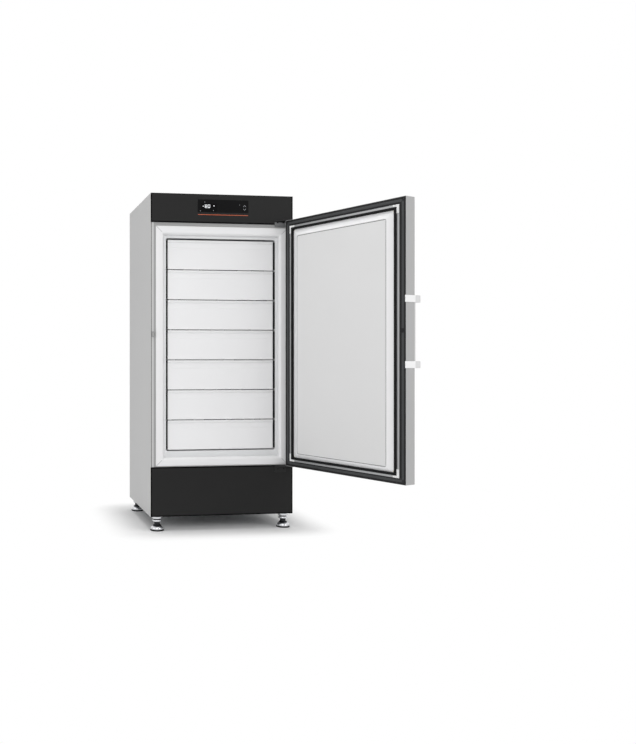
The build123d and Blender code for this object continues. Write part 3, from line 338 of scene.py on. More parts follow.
# The beads are painted shade: dark strips standing for the shadow in the gap at each panel's edge.
bead_shade_paint = powder_coat("dark_grey_bead_painted_shade", bead_shade_grey, roughness=0.7)
for side, hand in ((-1, "left"), (1, "right")):
    middle = side * (shell_high[0] - bead_inset - bead_width / 2)
    points, faces = rounded_block(
        (middle - bead_width / 2, shell_low[1] - bead_proud, frame_low[2] + bead_foot),
        (middle + bead_width / 2, shell_low[1] + bead_proud, frame_high[2] - bead_head),
        bead_proud * 0.9,
        2,
    )
    piece(f"flange_shade_bead_{hand}", points, faces, bead_shade_paint)


# Breaker collar
# The white moulding that the door seals on, screwed round the mouth. It is one vacuum-formed
# profile cut at 45 degrees and welded at the corners, with a soft nose where it turns inwards.
collar_white = "e9e9ea"
collar_land = 0.0393
nose_radius = 0.004
ripple_size = 0.35
moulded_edge = 0.0015


def moulded_plastic(name, colour, roughness=0.38, tone=0.015, sheen=0.5):
    """Moulded ABS: an even colour with a satin sheen and the faint, wide ripple of a formed sheet."""
    material, tree, place = bare_material(name)
    ripple = node(tree, "ShaderNodeTexNoise", {
        "Vector": place,
        "Scale": 1 / ripple_size,
        "Detail": 1.0,
    })
    speck = node(tree, "ShaderNodeTexNoise", {"Vector": place, "Scale": 1 / peel_size, "Detail": 2.0})
    tint = tinted(tree, ripple.outputs["Fac"], colour, tone)
    edge = node(tree, "ShaderNodeBevel", {"Radius": moulded_edge}, samples=4)
    bump = node(tree, "ShaderNodeBump", {
        "Height": speck.outputs["Fac"],
        "Distance": 0.00002,
        "Strength": 0.4,
        "Normal": edge.outputs["Normal"],
    })
    skin = node(tree, "ShaderNodeBsdfPrincipled", {
        "Base Color": tint,
        "Roughness": roughness,
        "Specular IOR Level": sheen,
        "Normal": bump.outputs["Normal"],
    })
    node(tree, "ShaderNodeOutputMaterial", {"Surface": skin.outputs[0]})
    return material


def nested(profile, low, high, axis=1, corner=0.0, steps=4, ends=(True, True)):
    """Rectangles with rounded corners set one inside the other and joined. Each pair of the profile
    is how far its rectangle is drawn in from the outline and where it lies along the axis. The
    first and last rectangles are closed by a face each, where ends says so."""
    across, up = [number for number in range(3) if number != axis]
    turn = corner_turns(steps)
    side_a = np.repeat([1, -1, -1, 1], steps + 1)
    side_b = np.repeat([1, 1, -1, -1], steps + 1)
    profile = np.asarray(profile, float)
    inset = profile[:, :1]
    radius = np.maximum(corner - inset, 1e-5)
    half_a = (high[across] - low[across]) / 2
    half_b = (high[up] - low[up]) / 2
    points = np.zeros((len(profile), len(turn), 3))
    points[..., across] = (high[across] + low[across]) / 2
    points[..., across] += side_a * (half_a - inset - radius) + radius * np.cos(turn)
    points[..., up] = (high[up] + low[up]) / 2
    points[..., up] += side_b * (half_b - inset - radius) + radius * np.sin(turn)
    points[..., axis] = profile[:, 1:]
    faces = grid_faces(len(profile), len(turn))
    if ends[0]:
        faces.append(list(range(len(turn))))
    if ends[1]:
        last = (len(profile) - 1) * len(turn)
        faces.append(list(range(last, last + len(turn))))
    return points, faces


def rounded(corners, radius, steps=4):
    """A profile whose inner corners are replaced by arcs. Each arc touches both runs at the same
    distance from the corner, and is drawn as a quadratic curve between those two points."""
    corners = np.asarray(corners, float)
    path = [corners[0]]
    share = np.linspace(0, 1, steps + 1)[:, None]
    for before, here, after in zip(corners[:-2], corners[1:-1], corners[2:]):
        back_run, on_run = before - here, after - here
        reach = min(radius, np.linalg.norm(back_run) / 2.1, np.linalg.norm(on_run) / 2.1)
        start = here + back_run / np.linalg.norm(back_run) * reach
        stop = here + on_run / np.linalg.norm(on_run) * reach
        path.extend((1 - share) ** 2 * start + 2 * share * (1 - share) * here + share ** 2 * stop)
    path.append(corners[-1])
    return np.array(path)


collar_low, collar_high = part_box("breaker_collar")
throat_inset = 0.049
throat_rise = 0.014
collar_profile = rounded([
    (0, collar_high[1]),
    (0, collar_low[1]),
    (collar_land, collar_low[1]),
    (throat_inset, collar_low[1] + throat_rise),
    (throat_inset, collar_high[1]),
    (0, collar_high[1]),
], nose_radius)
collar_plastic = moulded_plastic("white_ABS_collar", collar_white)
points, faces = nested(collar_profile, collar_low, collar_high, steps=1, ends=(False, False))
collar = piece("collar_moulding", points, faces, collar_plastic)
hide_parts("breaker_collar")


# Welds of the collar
# The bead left where two lengths of the collar are hot-welded at a corner, shaved nearly flush,
# so it shows as a fine line across the mitre. Its grey is partly painted shade: it is darkened to
# stand for the shading break where the collar's faces meet at the mitre.
weld_and_shade_grey = "b4b5b6"
weld_width = 0.0018
weld_start = 0.0005
weld_proud = 0.0002
weld_root = 0.0008
weld_and_shade_plastic = moulded_plastic("white_ABS_weld_and_painted_shade", weld_and_shade_grey, roughness=0.5)
for number, (side, up) in enumerate(((-1, -1), (1, -1), (1, 1), (-1, 1))):
    corner_x = collar_high[0] if side > 0 else collar_low[0]
    corner_z = collar_high[2] if up > 0 else collar_low[2]
    strip = []
    for reach_in in (weld_start, collar_land - nose_radius):
        for offset in (-weld_width / 2, weld_width / 2):
            for level in (-weld_proud, weld_root):
                strip.append((
                    corner_x - side * (reach_in + offset),
                    collar_low[1] + level,
                    corner_z - up * (reach_in - offset),
                ))
    sides = [(0, 2, 6, 4), (0, 1, 5, 4), (2, 3, 7, 6), (0, 1, 3, 2), (4, 5, 7, 6), (1, 3, 7, 5)]
    piece(f"collar_weld_and_shade_{number + 1}", strip, sides, weld_and_shade_plastic)


# Chamber
# A deep liner of white coated steel, with folded angle rails that carry the drawers and a
# stainless temperature probe in the back wall.
liner_white = "dfe0e1"
rail_grey = "d5d6d8"
liner_coat = powder_coat("white_powder_coat_liner", liner_white, roughness=0.4)
rail_coat = powder_coat("pale_powder_coat_rails", rail_grey, roughness=0.35)
dress(liner_coat, "inner_liner")
dress(rail_coat, "drawer_rails")


def bright_metal(name, colour, roughness, streak=0.0, streak_size=(0.002, 0.002, 0.05)):
    """Bare metal: full metallic reflection, with fine streaks that scatter it along the grain."""
    material, tree, place = bare_material(name)
    stretch = node(tree, "ShaderNodeMapping", {
        "Vector": place,
        "Scale": tuple(1 / size for size in streak_size),
    })
    grain = node(tree, "ShaderNodeTexNoise", {
        "Vector": stretch.outputs[0],
        "Scale": 1.0,
        "Detail": 3.0,
    })
    rough = node(tree, "ShaderNodeMapRange", {
        "Value": grain.outputs["Fac"],
        "To Min": max(roughness - streak, 0.02),
        "To Max": roughness + streak,
    })
    edge = node(tree, "ShaderNodeBevel", {"Radius": 0.0006}, samples=4)
    skin = node(tree, "ShaderNodeBsdfPrincipled", {
        "Base Color": srgb(colour),
        "Metallic": 1.0,
        "Roughness": rough.outputs[0],
        "Normal": edge.outputs["Normal"],
    })
    node(tree, "ShaderNodeOutputMaterial", {"Surface": skin.outputs[0]})
    return material


stainless = bright_metal("brushed_stainless_steel", "c4c5c8", 0.28, 0.08)
dress(stainless, "chamber_probe", "lock_cylinder")


# Drawers
# Seven drawers of white coated steel. The front is pressed with a rolled lip along the top and a
# turned hem at the bottom, and the tub behind it is one folded sheet with a rolled rim.
drawer_white = "eeeeef"
# The lip takes a coat a shade darker than the front: painted shade of the band along each front's top.
lip_shade_white = "e6e6e7"
front_edge = 0.0025
lip_height = 0.017
lip_proud = 0.0025
hem_height = 0.005
hem_proud = 0.0012
tub_side = 0.013
tub_rise = 0.008
tub_height = 0.120
tub_sheet = 0.0012
rim_height = 0.006
rim_width = 0.0025
lip_round = 0.0017
hem_round = 0.0011
drawer_coat = powder_coat("white_powder_coat_drawers", drawer_white, roughness=0.42, tone=0.012)
lip_shade_coat = powder_coat("white_powder_coat_lip_painted_shade", lip_shade_white, roughness=0.42, tone=0.012)
for number in range(1, 8):
    name = f"drawer_{number}"
    low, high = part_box(name)
    face = low[1] + lip_proud
    panel_profile = rounded([
        (0.002, face + tub_sheet),
        (0, face + tub_sheet),
        (0, face),
        (0.010, face),
        (0.012, face + 0.0004),
        (0.020, face + 0.0004),
    ], front_edge / 2, 3)
    points, faces = nested(panel_profile, low, high, corner=0.003, steps=3)
    front = piece(f"{name}_front", points, faces, drawer_coat, name)
    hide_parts(name)
    points, faces = rounded_block(
        (low[0], low[1], high[2] - lip_height),
        (high[0], face + tub_sheet, high[2]),
        lip_round,
        3,
    )
    piece(f"{name}_lip", points, faces, lip_shade_coat, name)
    points, faces = rounded_block(
        (low[0], face - hem_proud, low[2]),
        (high[0], face + tub_sheet, low[2] + hem_height),
        hem_round,
        3,
    )
    piece(f"{name}_hem", points, faces, drawer_coat, name)
    tub_low = (low[0] + tub_side, face + tub_sheet, low[2] + tub_rise)
    tub_high = (high[0] - tub_side, high[1], low[2] + tub_rise + tub_height)
    tub_profile = [
        (0.002, tub_low[2]),
        (0, tub_low[2] + 0.002),
        (0, tub_high[2] - rim_height),
        (-rim_width / 2, tub_high[2] - rim_height),
        (-rim_width / 2, tub_high[2] - 0.001),
        (0, tub_high[2]),
        (tub_sheet, tub_high[2] - 0.001),
        (tub_sheet, tub_low[2] + tub_sheet + 0.002),
        (tub_sheet + 0.002, tub_low[2] + tub_sheet),
    ]
    points, faces = nested(tub_profile, tub_low, tub_high, axis=2, corner=0.006, steps=3)
    piece(f"{name}_tub", points, faces, drawer_coat, name)


# Seals and painted shade round the drawers
# Black strips with rounded ends, pushed on the liner's mouth on both sides of each drawer: rubber
# seals, whose black is also painted shade of the gaps beside the drawers. The short strips between
# drawers are painted shade: they stand for the dark lengths of these gaps, and nothing holds them.
seal_width = 0.0085
seal_clear = 0.0022
seal_depth = 0.007
seal_round = 0.0032
strip_clear = 0.0004
strip_round = 0.0012
gap_shade_spans = (
    ((-0.29, -0.16), (-0.10, 0.03), (0.06, 0.14), (0.20, 0.24)),
    ((-0.30, -0.10), (-0.02, 0.06), (0.12, 0.29)),
    ((-0.27, 0.02), (0.08, 0.25)),
    ((-0.29, -0.19), (-0.12, -0.06), (0.02, 0.18)),
    ((-0.25, -0.02), (0.10, 0.16), (0.21, 0.28)),
    ((-0.28, -0.22), (-0.13, 0.10), (0.18, 0.26)),
)
# Painted shade: the strips are black to darken the gaps round the drawers.
shade_seal_black = moulded_plastic("black_seal_and_painted_shade", "0a0a0a", roughness=0.8, sheen=0.05)
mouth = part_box("inner_liner")[0][1]
for number in range(1, 8):
    low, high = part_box(f"drawer_{number}")
    for side, hand in ((-1, "left"), (1, "right")):
        near = side * (high[0] + seal_clear)
        far = near + side * seal_width
        points, faces = rounded_block(
            (min(near, far), mouth - strip_clear, low[2] + 0.004),
            (max(near, far), mouth + seal_depth, high[2] - 0.003),
            seal_round,
            4,
        )
        piece(f"drawer_seal_and_shade_{number}_{hand}", points, faces, shade_seal_black)
    if number < 7:
        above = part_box(f"drawer_{number + 1}")[0][2]
        for count, (left, right) in enumerate(gap_shade_spans[number - 1]):
            points, faces = rounded_block(
                (left, low[1] + 0.001, high[2] + strip_clear),
                (right, low[1] + 0.006, above - strip_clear),
                strip_round,
                3,
            )
            piece(f"gap_shade_strip_{number}_{count + 1}", points, faces, shade_seal_black)


# Insulation and what it buries
# Rigid polyurethane foam round the liner and in the door, foil-faced vacuum panels, and the flat
# copper evaporator tube. All of it is sealed in, so it only shows where a panel is taken off.
bubble_size = 0.004


def cast_foam(name, colour):
    """Polyurethane foam: a matt pale yellow skin pitted by bubbles of a few millimetres."""
    material, tree, place = bare_material(name)
    cells = node(tree, "ShaderNodeTexVoronoi", {"Vector": place, "Scale": 1 / bubble_size})
    pits = node(tree, "ShaderNodeBump", {
        "Height": cells.outputs["Distance"],
        "Distance": 0.0006,
        "Strength": 0.6,
    })
    skin = node(tree, "ShaderNodeBsdfPrincipled", {
        "Base Color": srgb(colour),
        "Roughness": 0.9,
        "Normal": pits.outputs["Normal"],
    })
    node(tree, "ShaderNodeOutputMaterial", {"Surface": skin.outputs[0]})
    return material


dress(cast_foam("polyurethane_foam", "dccf9e"), "insulation_foam", "door_foam")
dress(bright_metal("aluminium_barrier_foil", "cfcfd2", 0.32, 0.12, (0.03, 0.03, 0.03)), "vacuum_panels")
copper = bright_metal("bare_copper_tube", "c27a52", 0.3, 0.1, (0.02, 0.02, 0.02))
dress(copper, "evaporator_coil", "refrigerant_pipes")


# Base and feet
# A zinc-plated tray on four levelling feet. Each foot is turned steel with a domed pad, plated
# bright chrome, and is locked by a round nut with two flats under the tray.
foot_steps = 64
chrome = bright_metal("bright_chrome_plate", "d2d3d6", 0.12, 0.03, (0.01, 0.01, 0.01))
zinc = bright_metal("zinc_plated_steel", "a9abad", 0.42, 0.12, (0.03, 0.03, 0.03))
dress(zinc, "base_tray", "fan_shroud")


def lathe(profile, centre, steps):
    """Surface turned about a vertical axis: each profile pair is a radius and a height."""
    profile = np.asarray(profile, float)
    turn = np.arange(steps) / steps * 2 * pi
    radius = np.maximum(profile[:, :1], 1e-6)
    points = np.stack([
        centre[0] + radius * np.cos(turn),
        centre[1] + radius * np.sin(turn),
        profile[:, 1:] * np.ones_like(turn),
    ], -1)
    faces = grid_faces(len(profile), steps)
    faces.append(list(range(steps)))
    last = (len(profile) - 1) * steps
    faces.append(list(range(last, last + steps)))
    return points, faces


feet_low, feet_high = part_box("levelling_feet")
nut_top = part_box("foot_nuts")[1][2]
pad_radius = 0.0385
nut_radius = 0.0285
collar_radius = 0.0262
neck_radius = 0.0160
stem_radius = 0.008
rim_top = 0.0070
pad_top = 0.0280
neck_top = 0.0525
flange_top = 0.0625
rim_inner = 0.030
pad_step = 0.0025
overlap = 0.001
washer_radius = neck_radius + 0.003
washer_top = flange_top + 0.007
nut_bottom = flange_top + 0.006
# The stem, cone and washer are drawn in near-black metal and the pad's rim in black as painted
# reflection: the dark bands that chrome shows of the cabinet's underside and the shadow beneath it. The
# lock bolt takes the same dark coat as its own finish.
oxide_and_dark_reflection = bright_metal("black_oxide_steel_and_painted_reflection", "2c2d2f", 0.35, 0.08, (0.01, 0.01, 0.01))
rim_dark_reflection = moulded_plastic("black_rubber_rim_painted_reflection", "0c0c0c", roughness=0.7, sheen=0.1)
dress(oxide_and_dark_reflection, "lock_bolt")
foot_pieces = {
    "rim": ("levelling_feet", rim_dark_reflection, [
        (rim_inner, 0.0),
        (pad_radius, 0.0),
        (pad_radius, rim_top),
        (rim_inner, rim_top),
    ]),
    "pad": ("levelling_feet", chrome, [
        (rim_inner, rim_top - overlap),
        (pad_radius - pad_step, rim_top - overlap),
        (pad_radius - pad_step, rim_top + 0.009),
        (0.0300, pad_top - 0.004),
        (0.0230, pad_top),
        (0.010, pad_top),
    ]),
    "cone": ("levelling_feet", oxide_and_dark_reflection, [
        (0.010, pad_top - overlap),
        (0.0260, pad_top - overlap),
        (0.0245, pad_top + 0.003),
        (neck_radius, pad_top + 0.008),
        (neck_radius, neck_top),
        (stem_radius, neck_top),
        (stem_radius, feet_high[2]),
        (0.002, feet_high[2]),
    ]),
    "flange": ("foot_nuts", chrome, [
        (stem_radius, neck_top - overlap),
        (collar_radius, neck_top - overlap),
        (collar_radius, flange_top),
        (stem_radius, flange_top),
    ]),
    "washer": ("foot_nuts", oxide_and_dark_reflection, [
        (stem_radius, flange_top - overlap),
        (washer_radius, flange_top - overlap),
        (washer_radius, washer_top),
        (stem_radius, washer_top),
    ]),
    "nut": ("foot_nuts", chrome, [
        (stem_radius, nut_bottom),
        (nut_radius, nut_bottom),
        (nut_radius, nut_top),
        (stem_radius, nut_top),
    ]),
}
turned_round = 0.003
foot_places = [
    (side, end)
    for side in (feet_low[0] + pad_radius, feet_high[0] - pad_radius)
    for end in (feet_low[1] + pad_radius, feet_high[1] - pad_radius)
]
for number, centre in enumerate(foot_places, 1):
    for part, (replaced, metal, profile) in foot_pieces.items():
        points, faces = lathe(rounded(profile, turned_round, 4), centre, foot_steps)
        name = f"foot_{number}_{part}"
        turned = piece(name, points, faces, metal, crease=50)
        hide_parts(replaced)


# Fascia and kickplate
# Shallow covers folded from sheet steel, with a satin near-black powder coat. The folded edge
# stands back a little, and it and the bars along the fascia's edges are coloured blacker than the
# cover as painted shade, so a dark line runs round each cover.
cover_black = "202020"
# The fold and the fascia's edge bars are painted near black: painted shade of the folded edge.
fold_shade_black = "030303"
fold_width = 0.0062
fold_drop = 0.0022
inset_line = 0.0015
edge_proud = 0.0003
leaf_start = 0.309
leaf_height = 0.012
cover_coat = powder_coat("satin_black_powder_coat", cover_black, 0.5, 0.05, sheen=0.14)
fold_shade_coat = powder_coat("black_powder_coat_fold_painted_shade", fold_shade_black, 0.7, 0.05, sheen=0.0)
dress(cover_coat, "fascia")


def folded_cover(name, low, high, material, fold):
    """A tray seen from its front: side walls, a sloping fold round the edge, then the flat field."""
    walls = [(0, high[1]), (0, low[1] + fold_drop), (fold_width, low[1])]
    points, faces = nested(walls, low, high, steps=1, ends=(False, False))
    piece(f"{name}_fold", points, faces, fold)
    field = [
        (fold_width, low[1]),
        (fold_width + inset_line, low[1] - edge_proud),
        (fold_width + 2 * inset_line, low[1]),
    ]
    points, faces = nested(field, low, high, steps=1, ends=(False, True))
    return piece(f"{name}_field", points, faces, material)


fascia_low, fascia_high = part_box("fascia")
edge_bars = {
    "left": (fascia_low[0], fascia_low[2], fascia_low[0] + fold_width, fascia_high[2]),
    "right": (fascia_high[0] - fold_width, fascia_low[2] + leaf_height, fascia_high[0], fascia_high[2]),
    "top": (fascia_low[0], fascia_high[2] - fold_width / 2, fascia_high[0], fascia_high[2]),
    "bottom": (fascia_low[0], fascia_low[2], leaf_start, fascia_low[2] + fold_width),
}
for name, (left, bottom, right, top) in edge_bars.items():
    points, faces = rounded_block(
        (left, fascia_low[1] - edge_proud, bottom),
        (right, fascia_low[1] + 0.0010, top),
        edge_proud,
        2,
    )
    piece(f"fascia_edge_shade_{name}", points, faces, fold_shade_coat)

kick_low, kick_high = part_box("kickplate")
kick = folded_cover("kickplate", kick_low, kick_high, cover_coat, fold_shade_coat)
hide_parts("kickplate")


# Display
# Black-backed glass over a small screen with plain figures, beside two touch arrows and five lit
# marks, and a strip of orange plastic under it with a faint painted glow along its length.
glass_black = "0a0a0b"
screen_black = "010102"
figure_white = "f4f6f8"
icon_grey = "8d8f92"
strip_orange = "b4502a"
glass_low, glass_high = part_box("display_glass")


def sheet_glass(name, colour, roughness=0.3):
    """Black-printed glass with an etched face that takes most of the glare off it."""
    material, tree, place = bare_material(name)
    smear = node(tree, "ShaderNodeTexNoise", {"Vector": place, "Scale": 1 / 0.04, "Detail": 3.0})
    rough = node(tree, "ShaderNodeMapRange", {
        "Value": smear.outputs["Fac"],
        "To Min": roughness * 0.7,
        "To Max": roughness * 1.4,
    })
    skin = node(tree, "ShaderNodeBsdfPrincipled", {
        "Base Color": srgb(colour),
        "Roughness": rough.outputs[0],
        "IOR": 1.5,
        "Specular IOR Level": 0.08,
    })
    node(tree, "ShaderNodeOutputMaterial", {"Surface": skin.outputs[0]})
    return material


def lit_print(name, colour, strength):
    """A lit screen or printed sign behind glass, seen as its own colour with a little glow."""
    material, tree, place = bare_material(name)
    uneven = node(tree, "ShaderNodeTexNoise", {"Vector": place, "Scale": 1 / 0.03, "Detail": 1.0})
    level = node(tree, "ShaderNodeMapRange", {
        "Value": uneven.outputs["Fac"],
        "To Min": strength * 0.85,
        "To Max": strength * 1.1,
    })
    skin = node(tree, "ShaderNodeBsdfPrincipled", {
        "Base Color": srgb(colour),
        "Roughness": 0.4,
        "Emission Color": srgb(colour),
        "Emission Strength": level.outputs[0],
    })
    node(tree, "ShaderNodeOutputMaterial", {"Surface": skin.outputs[0]})
    return material


dress(sheet_glass("black_backed_glass", glass_black), "display_glass")
dress(cover_coat, "accent_strip")
strip_low, strip_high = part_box("accent_strip")
strip_middle = (strip_low[2] + strip_high[2]) / 2
strip_half = 0.0017
strip_inset = 0.002
points, faces = rounded_block(
    (strip_low[0] + strip_inset, strip_low[1] - edge_proud, strip_middle - strip_half),
    (strip_high[0] - strip_inset, strip_low[1] + 0.001, strip_middle + strip_half),
    edge_proud,
    2,
)
# The strip's faint glow is painted light: the strip is no lamp.
acrylic = lit_print("orange_acrylic_strip", strip_orange, 0.1)
piece("orange_strip_glow", points, faces, acrylic)
screen_glass = sheet_glass("screen_glass", screen_black)
figures = lit_print("white_screen_figures", figure_white, 1.15)
icons = lit_print("grey_printed_icons", icon_grey, 0.15)
print_rise = 0.0001


def flat_shape(name, outline, rise, material):
    """A flat printed shape on the glass, from its corners as x and z pairs."""
    low_y = glass_low[1] - rise
    front_points = [(x, low_y, z) for x, z in outline]
    back_points = [(x, glass_low[1] + print_rise, z) for x, z in outline]
    count = len(outline)
    faces = [list(range(count)), list(range(count, 2 * count))]
    faces += [(k, (k + 1) % count, count + (k + 1) % count, count + k) for k in range(count)]
    return piece(name, front_points + back_points, faces, material)


screen_left, screen_right = glass_low[0] + 0.0206, glass_low[0] + 0.115
screen_bottom, screen_top = glass_low[2] + 0.0036, glass_high[2] - 0.0209
flat_shape("screen", [
    (screen_left, screen_bottom),
    (screen_right, screen_bottom),
    (screen_right, screen_top),
    (screen_left, screen_top),
], print_rise, screen_glass)

figure_height = 0.0180
figure_width = 0.0120
figure_stroke = 0.0013
figure_base = glass_low[2] + 0.0264
segment_places = {
    "a": ((0, 1), (1, 1)),
    "b": ((1, 1), (1, 0.5)),
    "c": ((1, 0.5), (1, 0)),
    "d": ((0, 0), (1, 0)),
    "e": ((0, 0.5), (0, 0)),
    "f": ((0, 1), (0, 0.5)),
    "g": ((0, 0.5), (1, 0.5)),
}


def bar_outline(start, stop, stroke):
    """Six-cornered bar between two points: square across, with a pointed end at each point."""
    start, stop = np.array(start), np.array(stop)
    along = (stop - start) / np.linalg.norm(stop - start)
    across = np.array([-along[1], along[0]]) * stroke / 2
    tip = along * stroke / 2
    return [
        tuple(start - tip), tuple(start - across), tuple(stop - across),
        tuple(stop + tip), tuple(stop + across), tuple(start + across),
    ]


figure_places = {
    "minus": (0.0300, "g", 0.0070, 0.0022),
    "eight": (0.0435, "abcdefg", figure_width, figure_stroke),
    "zero": (0.0605, "abcdef", figure_width, figure_stroke),
}
for label, (right, lit, width, stroke) in figure_places.items():
    left = glass_low[0] + right
    for letter in lit:
        ends = [
            (
                left + stroke / 2 + a * (width - stroke),
                figure_base + stroke / 2 + b * (figure_height - stroke),
            )
            for a, b in segment_places[letter]
        ]
        flat_shape(f"figure_{label}_{letter}", bar_outline(*ends, stroke), 2 * print_rise, figures)

arrow_x = glass_low[0] + 0.2774
arrow_reach = 0.0075
arrow_rise = 0.0085
arrow_stroke = 0.0020
for label, level, up in (("up", glass_low[2] + 0.0415, 1), ("down", glass_low[2] + 0.0215, -1)):
    for side, hand in ((-1, "left"), (1, "right")):
        tip = (arrow_x, level + up * arrow_rise / 2)
        tail = (arrow_x + side * arrow_reach, level - up * arrow_rise / 2)
        flat_shape(f"arrow_{label}_{hand}", bar_outline(tip, tail, arrow_stroke), print_rise, icons)
icon_places = {
    "lamp": (0.042, 0.060, 0.0022),
    "clock": (0.016, 0.0085, 0.0024),
    "cloud": (0.096, 0.0385, 0.0022),
    "key": (0.093, 0.0120, 0.0022),
    "bell": (0.248, 0.0475, 0.0018),
}
for label, (right, up, size) in icon_places.items():
    middle = np.array([glass_low[0] + right, glass_low[2] + up])
    turns = np.arange(8) / 8 * 2 * pi
    outline = [(middle[0] + size * cos(t), middle[1] + size * sin(t)) for t in turns]
    flat_shape(f"icon_{label}", outline, 2 * print_rise, figures if label == "cloud" else icons)


# Upper compartment
# The control box above the insulated box, its circuit board and the display's own board.
board = powder_coat("green_solder_mask", "1f5a35", roughness=0.35)
box_coat = powder_coat("grey_box_coat", "8c8e92")
dress(board, "control_board", "display_module")
dress(box_coat, "control_box", "cascade_exchanger")


# Machine compartment
# Two hermetic compressors in black enamel on rubber feet, vessels, the finned condenser, and the
# moulded fan in its shroud behind the rear grille.
enamel = powder_coat("black_stoved_enamel", "141414", roughness=0.25, relief=0.00001)
dress(enamel, "compressors", "line_vessels", "fan_motor")
dress(bright_metal("bare_aluminium_fins", "c9cbce", 0.35, 0.1, (0.01, 0.01, 0.04)), "condenser")
dress(moulded_plastic("black_moulded_nylon", "171717", 0.45), "fan_rotor", "cable_gland")
rubber = moulded_plastic("black_rubber", "101010", 0.75)
dress(rubber, "compressor_mounts")
dress(moulded_plastic("grey_silicone_plug", "a3a4a6", 0.6), "port_plug")
dress(moulded_plastic("white_nylon_sleeve", "dcdcda", 0.5), "access_sleeve", "hinge_bushes")


# Hinges
# Plate hinges folded from thick sheet and coated satin grey, but black where they lie on the dark
# covers. Each pin turns in a nylon bush in the door.
hinge_grey = "6e6f70"
hinge_black = "202020"
leaf_split = fascia_low[2] + leaf_height


def split_coat(name, below, above, level, axis="Z", roughness=0.45, metallic=0.0):
    """One coat below a level along an axis and another above it, with a masked edge between."""
    material, tree, place = bare_material(name)
    along = node(tree, "ShaderNodeSeparateXYZ", {0: place})
    masked = node(tree, "ShaderNodeMapRange", {
        "Value": along.outputs[axis],
        "From Min": level - 0.0004,
        "From Max": level + 0.0004,
    })
    tint = node(tree, "ShaderNodeMix", {
        0: masked.outputs[0],
        6: srgb(below),
        7: srgb(above),
    }, data_type="RGBA")
    peel = node(tree, "ShaderNodeTexNoise", {"Vector": place, "Scale": 1 / peel_size, "Detail": 1.0})
    edge = node(tree, "ShaderNodeBevel", {"Radius": folded_edge}, samples=4)
    bump = node(tree, "ShaderNodeBump", {
        "Height": peel.outputs["Fac"],
        "Distance": 0.00003,
        "Strength": 0.5,
        "Normal": edge.outputs["Normal"],
    })
    skin = node(tree, "ShaderNodeBsdfPrincipled", {
        "Base Color": tint.outputs[2],
        "Roughness": roughness,
        "Metallic": metallic,
        "Specular IOR Level": 0.2,
        "Normal": bump.outputs["Normal"],
    })
    node(tree, "ShaderNodeOutputMaterial", {"Surface": skin.outputs[0]})
    return material


dress(split_coat("upper_hinge_coat", hinge_grey, hinge_black, leaf_split), "hinge_upper")
dress(split_coat("lower_hinge_coat", hinge_black, hinge_grey, kick_high[2]), "hinge_lower")
dress(split_coat("blackened_and_zinc_screws", "1c1c1c", "a9abad", 0.0, "Y", 0.5, 0.6), "panel_screws")


# Door body
# A pressed steel tray, foamed to its inner frame, standing open on its hinges. Its pieces are
# worked out on the shut door, whose back lies flat, and then swung about the hinge pins.
door_grey = "b3b3b3"
hinge = next(joint for joint in frame["joints"] if joint["name"] == "door_hinge")
opened = radians(-hinge["range_deg"][0])
pin_x, pin_y = hinge["pos_m"][:2]


def swung(points, angle=opened):
    """Points of the shut door turned about the hinge pins: a plain rotation in the level plane."""
    points = np.asarray(points, float).reshape(-1, 3)
    x, y = points[:, 0] - pin_x, points[:, 1] - pin_y
    return np.stack([
        pin_x + x * cos(angle) - y * sin(angle),
        pin_y + x * sin(angle) + y * cos(angle),
        points[:, 2],
    ], -1)


def shut_box(name):
    """Lowest and highest corners of a door node when the door is shut."""
    mesh = frame["nodes"][name].data
    points = np.zeros(len(mesh.vertices) * 3)
    mesh.vertices.foreach_get("co", points)
    points = swung(points, -opened)
    return points.min(0), points.max(0)


door_coat = powder_coat("light_grey_powder_coat_door", door_grey)
dress(door_coat, "door_skin")


# Inner frame of the door
# A dark plastic extrusion between the skin and the gasket, with a shallow raised band along its
# middle, mitred at the corners. The band is coloured lighter grey than the frame as a painted
# highlight, the light streak that runs along the extrusion.
frame_black = "1b1b1c"
band_highlight_grey = "424344"
band_rise = 0.0012
band_start = 0.011
band_stop = 0.024
bolt_clear = 0.006
frame_plastic = moulded_plastic("dark_grey_PVC_extrusion", frame_black, 0.5, 0.06, 0.2)
band_highlight_plastic = moulded_plastic("grey_PVC_band_painted_highlight", band_highlight_grey, 0.45, 0.06, 0.2)
dress(frame_plastic, "door_frame")
low, high = shut_box("door_frame")
bolt_low, bolt_high = shut_box("lock_bolt")
left_bars = (low[0] + band_start, low[0] + band_stop)
band_bars = {
    "top": (low[0] + band_start, high[2] - band_stop, high[0] - band_start, high[2] - band_start),
    "bottom": (low[0] + band_start, low[2] + band_start, high[0] - band_start, low[2] + band_stop),
    "right": (high[0] - band_stop, low[2] + band_start, high[0] - band_start, high[2] - band_start),
    "left_lower": (left_bars[0], low[2] + band_start, left_bars[1], bolt_low[2] - bolt_clear),
    "left_upper": (left_bars[0], bolt_high[2] + bolt_clear, left_bars[1], high[2] - band_start),
}
for name, (left, bottom, right, top) in band_bars.items():
    points, faces = rounded_block(
        (left, high[1] - band_rise, bottom),
        (right, high[1] + band_rise, top),
        band_rise * 0.9,
        3,
    )
    piece(f"door_frame_band_{name}", swung(points), faces, band_highlight_plastic, "door")


# Gasket retainer and its corner keys
# A satin aluminium channel that the gasket snaps into, with a white moulded key over each mitre.
retainer_metal = bright_metal("satin_aluminium_channel", "acadae", 0.5, 0.08)
key_plastic = moulded_plastic("white_nylon_corner_key", "ececec", roughness=0.4)
dress(retainer_metal, "gasket_retainer")
dress(key_plastic, "retainer_corners")


